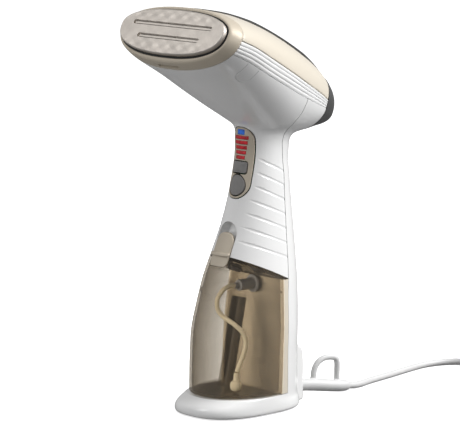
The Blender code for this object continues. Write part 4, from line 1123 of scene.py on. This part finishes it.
def make_panel():
    panel = panel_slab("panel", -GAP, 0.3, -2.0, 0.5)
    make_windows(panel)
    wider = 2 * BUTTON_GAP
    for name, z, outline, hole in (
            ("mode_button", MODE_Z, rounded_outline(MODE_WIDTH, MODE_HEIGHT, 1.8, 12),
             rounded_outline(MODE_WIDTH + wider, MODE_HEIGHT + wider, 2.4, 12)),
            ("steam_button", STEAM_Z, egg_outline(STEAM_WIDTH, STEAM_HEIGHT),
             egg_outline(STEAM_WIDTH + wider, STEAM_HEIGHT + wider))):
        into, up = press_direction(z)
        rings = []
        for share, proud in ((1, 1 - BUTTON_DEPTH), (1, 0.3), (0.988, 0.55), (0.965, 0.72), (0.93, 0.8),
                             (0.9, 0.74), (0.86, 0.7), (0.75, 0.78), (0.55, 0.88), (0.3, 0.96), (0.03, 1.0)):
            rings.append([front_point(a * share * BUTTON_SCALE, z + b * share * BUTTON_SCALE * up.z)
                          - into * proud for a, b in outline])
        stand_for(loft("button", rings), name)
        cut(panel, prism("hole", hole, front_point(0, z) - into * 4, SIDE, up, into * 14))
    stand_for(panel, "display_panel")


def make_latch():
    latch = front_patch("latch", LATCH_HALF, LATCH_LOW, LATCH_HIGH, 0.5, -2.1, round_top=LATCH_HALF - 0.9,
                        round_low=3.5, rows=48, cols=32, edge=0.9)
    add(latch, front_patch("ledge", LATCH_HALF + 0.2, 124.2, 127.0, 2.3, 0, 1.1, 1.1, rows=14, cols=32,
                           edge=1.1))
    stand_for(latch, "tank_latch")


# ---------------- tank ----------------
def tank_outline(inset):
    """Side view of the tank's block: flat back, sloping top and level floor."""
    back = [(y - inset, z) for y, z in TANK_BACK]
    low = TANK_FLOOR + GAP + inset
    back[-1] = (back[-1][0], low)
    back[0] = (back[0][0], shell_edge(back[0][0]) - GAP - inset * 1.1)
    far = -150
    return back + [(far, low), (far, shell_edge(far) - GAP - inset * 1.1)]


def tank_body(name, inset, radius):
    """Tank's form with a rounded bottom edge, made smaller by an inset."""
    low = TANK_FLOOR + GAP + inset
    heights = [low + radius * (1 - math.cos(math.pi / 2 * i / 6)) for i in range(6)]
    heights += spaced(low + radius, 126, 1.6)
    body = loft(name, [handle_ring(z, -inset - round_off((z - low,), radius), 160) for z in heights])
    return keep(body, side_prism("block", tank_outline(inset), 120))


def latch_pocket(half, low, depth):
    return front_patch("pocket", half, low, 160, 8, depth, rows=24)


def make_tank():
    tank = tank_body("tank", 0, 2.2)
    cut(tank, latch_pocket(LATCH_HALF + 0.5, LATCH_LOW - 0.5, -2.6))
    add(tank, front_patch("tongue", 6.0, LATCH_LOW + 1, 137, -2.7, -4.7, round_top=4))
    hollow = tank_body("hollow", TANK_WALL, 1.2)
    cut(hollow, latch_pocket(LATCH_HALF + 2.4, LATCH_LOW - 2.6, -4.6))
    cut(tank, hollow)
    ledge = handle_solid("ledge", -LEDGE_INSET, 94.0, 95.6, 0.4)
    cut(tank, keep(ledge, side_prism("block", tank_outline(LEDGE_INSET), 120)))
    bore(tank, 7, -6, 4, FILL, TOP_NORMAL)
    bore(tank, 5.9, -6, 6, (0, VALVE_HOLE_Y, VALVE_Z), REARWARD)
    stand_for(tank, "water_tank")


def make_cap():
    along = TOP_NORMAL.cross(SIDE)
    cap = turned("cap", ((-4.5, 5.2), (-4, 5.9), (0.5, 5.9), (0.5, 8.6), (0.8, 9), (3.0, 9), (3.5, 8.7),
                         (3.8, 8.0)), FILL, TOP_NORMAL, count=72)
    add(cap, prism("bar", rounded_outline(14, 3, 1.4, 8), FILL + TOP_NORMAL * 3.5, SIDE, along,
                   TOP_NORMAL * 2.3))
    stand_for(cap, "fill_cap")
    seal = [circle(FILL + TOP_NORMAL * (-2 + 0.35 * math.sin(a)), 6.4 + 0.2 * math.cos(a), 60, SIDE, along)
            for a in (math.tau * k / 12 for k in range(12))]
    stand_for(loft("seal", seal, closed=True), "fill_seal")


def make_pickup():
    """Outlet valve, hose, weight and the upright guide, all in the tank."""
    rear, centre = VALVE_HOLE_Y + 0.2, (0, 0, VALVE_Z)
    valve = turned("valve", ((VALVE_FRONT, 2.4), (VALVE_FRONT + 3.4, 2.4), (VALVE_FRONT + 4, 3.0),
                             (VALVE_FRONT + 4, 4.4), (VALVE_FRONT + 4.3, 4.6), (9.2, 4.6), (9.5, 4.9),
                             (9.5, 7.0), (9.7, 7.2), (11.0, 7.2), (11.2, 7.0), (11.2, 5.5), (rear, 5.5)),
                   centre, REARWARD)
    bore(valve, 3.9, 3, 30, centre, REARWARD)
    stand_for(valve, "tank_valve")
    hose = [(0, VALVE_FRONT - 0.4, VALVE_Z), (0, -14, VALVE_Z + 0.6), (0, -21.5, VALVE_Z - 2),
            (-1, -26.5, VALVE_Z - 9), (-1, -26, 81), (1.5, -23, 75.5), (6, -20, 72), (10.5, -16, 67.5),
            (13.2, -11.5, 61.5), (13.8, -9.5, 54), (13.5, -11.5, 45), (13.5, -16, 37), (13.5, -18.7, 31.5)]
    stand_for(rod("hose", smooth_curve(hose, 1.6), 1.9, 24), "pickup_hose")
    weight = ((-0.2, 2.1), (0, 2.4), (5.6, 2.4), (6.2, 2.8), (7, 4.0), (8.4, 4.55), (10, 4.7), (11.6, 4.55),
              (13, 4.0), (14, 3.0), (14.6, 1.6), (14.8, 0.3))
    stand_for(turned("weight", weight, (13.5, -18.9, 30.7), (0, -0.1, -0.995)), "hose_weight",
              finish="clear_hose")
    stand_for(prism("guide", ((-5, -1), (-5, 6), (-3.6, 6), (-3.6, 0.6), (3.6, 0.6), (3.6, 6), (5, 6),
                              (5, -1)), (2.5, -19.2, 18), SIDE, Vector((0, -1, 0.2)).normalized(),
                    Vector((0, 15.3, 71))), "pickup_guide")


def make_spine_cover():
    cover = handle_solid("spine_cover", 0, TANK_FLOOR - 2, 112)
    floor, top = TANK_FLOOR + GAP, TANK_BACK[0][1]
    tank_side = [(y + GAP, z) for y, z in TANK_BACK[:-1]] + [(TANK_BACK[-1][0] + GAP, floor)]
    shell_side = [(y - GAP / 2, z) for y, z in SEAM if TANK_FLOOR < z <= top]
    shell_side.append((SEAM[-1][0] - GAP / 2, floor))
    keep(cover, side_prism("cover_block", tank_side + shell_side[::-1], 120))
    bore(cover, 5.4, -20, 20, (0, 15, VALVE_Z), REARWARD)
    stand_for(cover, "spine_cover")


# ---------------- foot, switch and cord ----------------
def make_foot_parts():
    """Cover under the foot, with its rubber feet and screws, and the two screws in the handle."""
    low, high = GROUND + 1.0, GROUND + 3.0
    cover = foot_solid("cover", WALL + 0.9, 1.0)
    keep(cover, side_prism("layer", ((-90, low), (40, low), (40, high), (-90, high)), 80))
    for i, (x, y) in enumerate(((-22, -38), (22, -38), (-22, 28), (22, 28))):
        place = (x, y, GROUND)
        stand_for(turned("foot", ((-3.4, 5), (-0.5, 5), (-0.2, 4.9), (0, 4.6)), place, -UPWARD),
                  f"rubber_foot_{i + 1}")
        bore(cover, 5.4, -1, 8, place, UPWARD)
    for name, x in (("base_screw_left", -29), ("base_screw_right", 29)):
        place = Vector((x, -6, GROUND))
        bore(cover, 3.2, -1, 8, place, UPWARD)
        screw = turned("screw", ((1.3, 2.5), (1.45, 2.8), (2.9, 2.8), (2.9, 1.3), (7, 1.3)), place, UPWARD)
        stand_for(cross_recess(screw, Vector((x, -6, GROUND + 1.3)), UPWARD, REARWARD), name)
    stand_for(cover, "base_cover")
    for name, z in zip(("handle_screw_low", "handle_screw_high"), REAR_SCREWS):
        y = on_handle(z, 90).y
        screw = turned("screw", ((-1.0, 2.75), (-1.25, 3.05), (-2.8, 3.05), (-2.8, 1.4), (-14, 1.4)),
                       (0, y, z), REARWARD)
        stand_for(cross_recess(screw, Vector((0, y - 1.0, z)), -REARWARD, UPWARD), name)


def cross_recess(screw, top, into, along):
    """Cuts a cross for a screwdriver into a screw's head."""
    across = into.cross(along)
    for a, b in ((across, along), (along, across)):
        cut(screw, prism("cross", rounded_outline(3.2, 0.8, 0.2, 2), top - into, a, b, into * 2.1))
    return screw


def make_switch():
    def knob(name, low, high, radius, axis):
        """Round piece whose front edge is softened."""
        return turned(name, ((low, radius), (high, radius), (high + 0.35, radius - 0.12),
                             (high + 0.55, radius - 0.35), (high + 0.6, radius - 0.6)),
                      SWITCH_CENTRE, axis, count=72)

    ring = knob("ring", -3, 0.4, SWITCH_RADIUS + SWITCH_RIM, SWITCH_AXIS)
    stand_for(bore(ring, SWITCH_RADIUS + 0.5, -6, 6, SWITCH_CENTRE, SWITCH_AXIS, count=72), "switch_ring")
    axis = Matrix.Rotation(math.radians(SWITCH_TILT), 3, "X") @ SWITCH_AXIS
    rocker = knob("rocker", -1.4, 0.9, SWITCH_RADIUS, axis)
    up = axis.cross(SIDE) * -1
    front = SWITCH_CENTRE + axis * 3
    lines = [(rounded_outline(7, 0.6, 0.25, 3), front)]
    lines += [(rounded_outline(5 - 0.7 * k, 0.4, 0.15, 2), front + up * (1.6 + 0.9 * k)) for k in range(4)]
    for outline, place in lines:
        cut(rocker, prism("line", outline, place, SIDE, up, axis * -1.7))
    stand_for(rocker, "power_switch")


def make_relief():
    """Sleeve of the cord with its hanging loop, blended into one moulding."""
    rows = smooth_curve([row[:3] for row in RELIEF], 1.5)
    marks, radii = [row[1] for row in RELIEF], [row[3] for row in RELIEF]
    rings = []
    for k, p in enumerate(rows):
        ahead = (REARWARD if k == 0 else rows[min(k + 1, len(rows) - 1)] - rows[k - 1]).normalized()
        across = ahead.cross(UPWARD).normalized()
        rings.append(circle(p, float(np.interp(p.y, marks, radii)), 40, across, ahead.cross(across)))
    loop = [(math.sin(LOOP_YAW) * s, BOX_REAR + math.cos(LOOP_YAW) * s, z) for s, z in LOOP]
    sleeve = remesh(join([loft("relief", rings), rod("loop", smooth_curve(loop, 1.2), LOOP_BAR, 24)]),
                    RELIEF_GRID)
    near_loop = np.clip(1 - np.abs(working_places(sleeve)[:, 2] - 13) / 4, 0, 1)
    relax(sleeve, settle(sleeve) + [(near_loop, 0.5)] * 12)
    neck = turned("neck", ((-5.4, 5.8), (-3.0, 5.8), (-3.0, 3.6), (0.6, 3.6)), RELIEF[0][:3], REARWARD)
    stand_for(add(sleeve, neck), "strain_relief")


def cord_line():
    """Middle line of the mains cord: across the floor, round its coil in four layers and up into the plug."""
    route = smooth_curve(CORD_ROUTE, 9)
    ring_z = GROUND + COIL_LIFT + CORD / 2
    path = route[:]
    begin = math.atan2(route[-1].y - COIL_CENTRE.y, route[-1].x - COIL_CENTRE.x)
    reach = math.hypot(route[-1].x - COIL_CENTRE.x, route[-1].y - COIL_CENTRE.y)
    for i in range(1, int(COIL_TURNS * COIL_STEPS) + 1):
        turn = i / COIL_STEPS
        layer = int(turn / (LAYER_TURNS + RISE_TURNS))
        within = turn - layer * (LAYER_TURNS + RISE_TURNS)
        share = min(within / LAYER_TURNS, 1)
        climb = max(within - LAYER_TURNS, 0) / RISE_TURNS
        first, last = (COIL_IN, COIL_OUT) if layer % 2 else (COIL_OUT, COIL_IN)
        radius = first + (last - first) * share + (reach - COIL_OUT) * max(1 - turn / 0.5, 0)
        angle = begin + math.tau * turn
        lift = ring_z + CORD * (layer + climb)
        if turn < 0.5:
            lift = CORD_Z + (ring_z - CORD_Z) * turn / 0.5
        path.append(Vector((COIL_CENTRE.x + radius * math.cos(angle),
                            COIL_CENTRE.y + radius * math.sin(angle), lift)))
    coil_end, heading = path[-1], (path[-1] - path[-3]).normalized()
    path += smooth_curve([coil_end, coil_end + heading * 11, PLUG_START - PLUG_AHEAD * 11,
                          PLUG_START + PLUG_AHEAD * 1.5], 7)[1:]
    return path


def make_tie():
    """Band round one side of the coil."""
    tie_out = Vector((math.cos(TIE_ANGLE), math.sin(TIE_ANGLE), 0))
    tie_along = Vector((-tie_out.y, tie_out.x, 0))
    middle = COIL_CENTRE + tie_out * (COIL_IN + COIL_OUT) / 2
    half_width, half_height = (COIL_OUT - COIL_IN + CORD) / 2 + 1.5, (COIL_TOP - TIE_THICK) / 2 + 0.3
    rings = []
    for grow, shift in ((0, -4), (TIE_THICK - 0.2, -4), (TIE_THICK, -3.7), (TIE_THICK, 3.7),
                        (TIE_THICK - 0.2, 4), (0, 4)):
        outline = rounded_outline(2 * (half_width + grow), 2 * (half_height + grow), 1.5 + grow, 8)
        rings.append([middle + tie_out * a + Vector((0, 0, TIE_THICK + half_height + b)) + tie_along * shift
                      for a, b in outline])
    return stand_for(loft("tie", rings, closed=True), "cord_tie")


def make_plug():
    """Plug with two flat blades, which lies on the coil."""
    across = PLUG_AHEAD.cross(UPWARD)
    rows = ((0, 3.3, 3.3), (0.5, 3.6, 3.6), (2.4, 3.7, 3.65), (5, 4.0, 3.9), (8, 4.4, 4.2), (10, 4.8, 4.5),
            (12, 6.4, 5.2), (14, 8.4, 6.0), (18, 10, 6.6), (24, 11.2, 7), (30, 11.6, 7.1), (34.6, 11.5, 7),
            (35.6, 11.1, 6.6), (36, 10.6, 6.2))
    rings = []
    for d in spaced(0, rows[-1][0], 0.75):
        w, h = smooth_row(rows, d)
        outline = rounded_outline(2 * w, 2 * h, min(w, h) * 0.72, 10)
        rings.append(laid(outline, PLUG_START + PLUG_AHEAD * d, across, UPWARD))
    plug = loft("plug", rings)
    for d in (3.2, 5.6, 8.0):
        for side in (-1, 1):
            cut(plug, prism("flex", rounded_outline(1.1, 3.4, 0.4, 4),
                            PLUG_START + PLUG_AHEAD * d + across * side * 9, PLUG_AHEAD, UPWARD,
                            across * side * -6.4))
    pieces = [stand_for(plug, "plug_body")]
    for name, side in (("plug_blade_left", -1), ("plug_blade_right", 1)):
        root, hole = (PLUG_START + PLUG_AHEAD * d + across * side * 6.35 for d in (36.35, 48.4))
        blade = prism("blade", rounded_outline(1.5, 6.4, 0.5, 4), root, across, UPWARD, PLUG_AHEAD * 15.6)
        bore(blade, 1.6, -3, 3, hole, across, across=PLUG_AHEAD, count=32)
        pieces.append(stand_for(blade, name))
    return pieces


def make_cord(line):
    curve = bpy.data.curves.new("cord", "CURVE")
    curve.dimensions = "3D"
    curve.bevel_depth = CORD / 2 * MM
    curve.bevel_resolution = 5
    curve.use_fill_caps = True
    spline = curve.splines.new("POLY")
    spline.points.add(len(line) - 1)
    for point, p in zip(spline.points, line):
        point.co = (*p, 1)
    curve.materials.append(MATS["cord_white"])
    return new_object("cord_fine", curve)


# ---------------- the whole ----------------
make_shells()
make_head_trim()
make_heel()
make_bezel()
make_plate()
make_gasket()
make_panel()
make_latch()
make_tank()
make_cap()
make_pickup()
make_spine_cover()
make_foot_parts()
make_switch()
make_relief()
tie = make_tie()
cord_ends = [*make_plug(), tie]
cord_path = [Vector(to_metres(p)) for p in cord_line()]
cord_piece = make_cord(cord_path)
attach(cord_piece, "housing")
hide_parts("cord_tube", "cord_coil")
replaced.update(("cord_tube", "cord_coil"))
finish_the_rest()
make_camera()
make_stage()
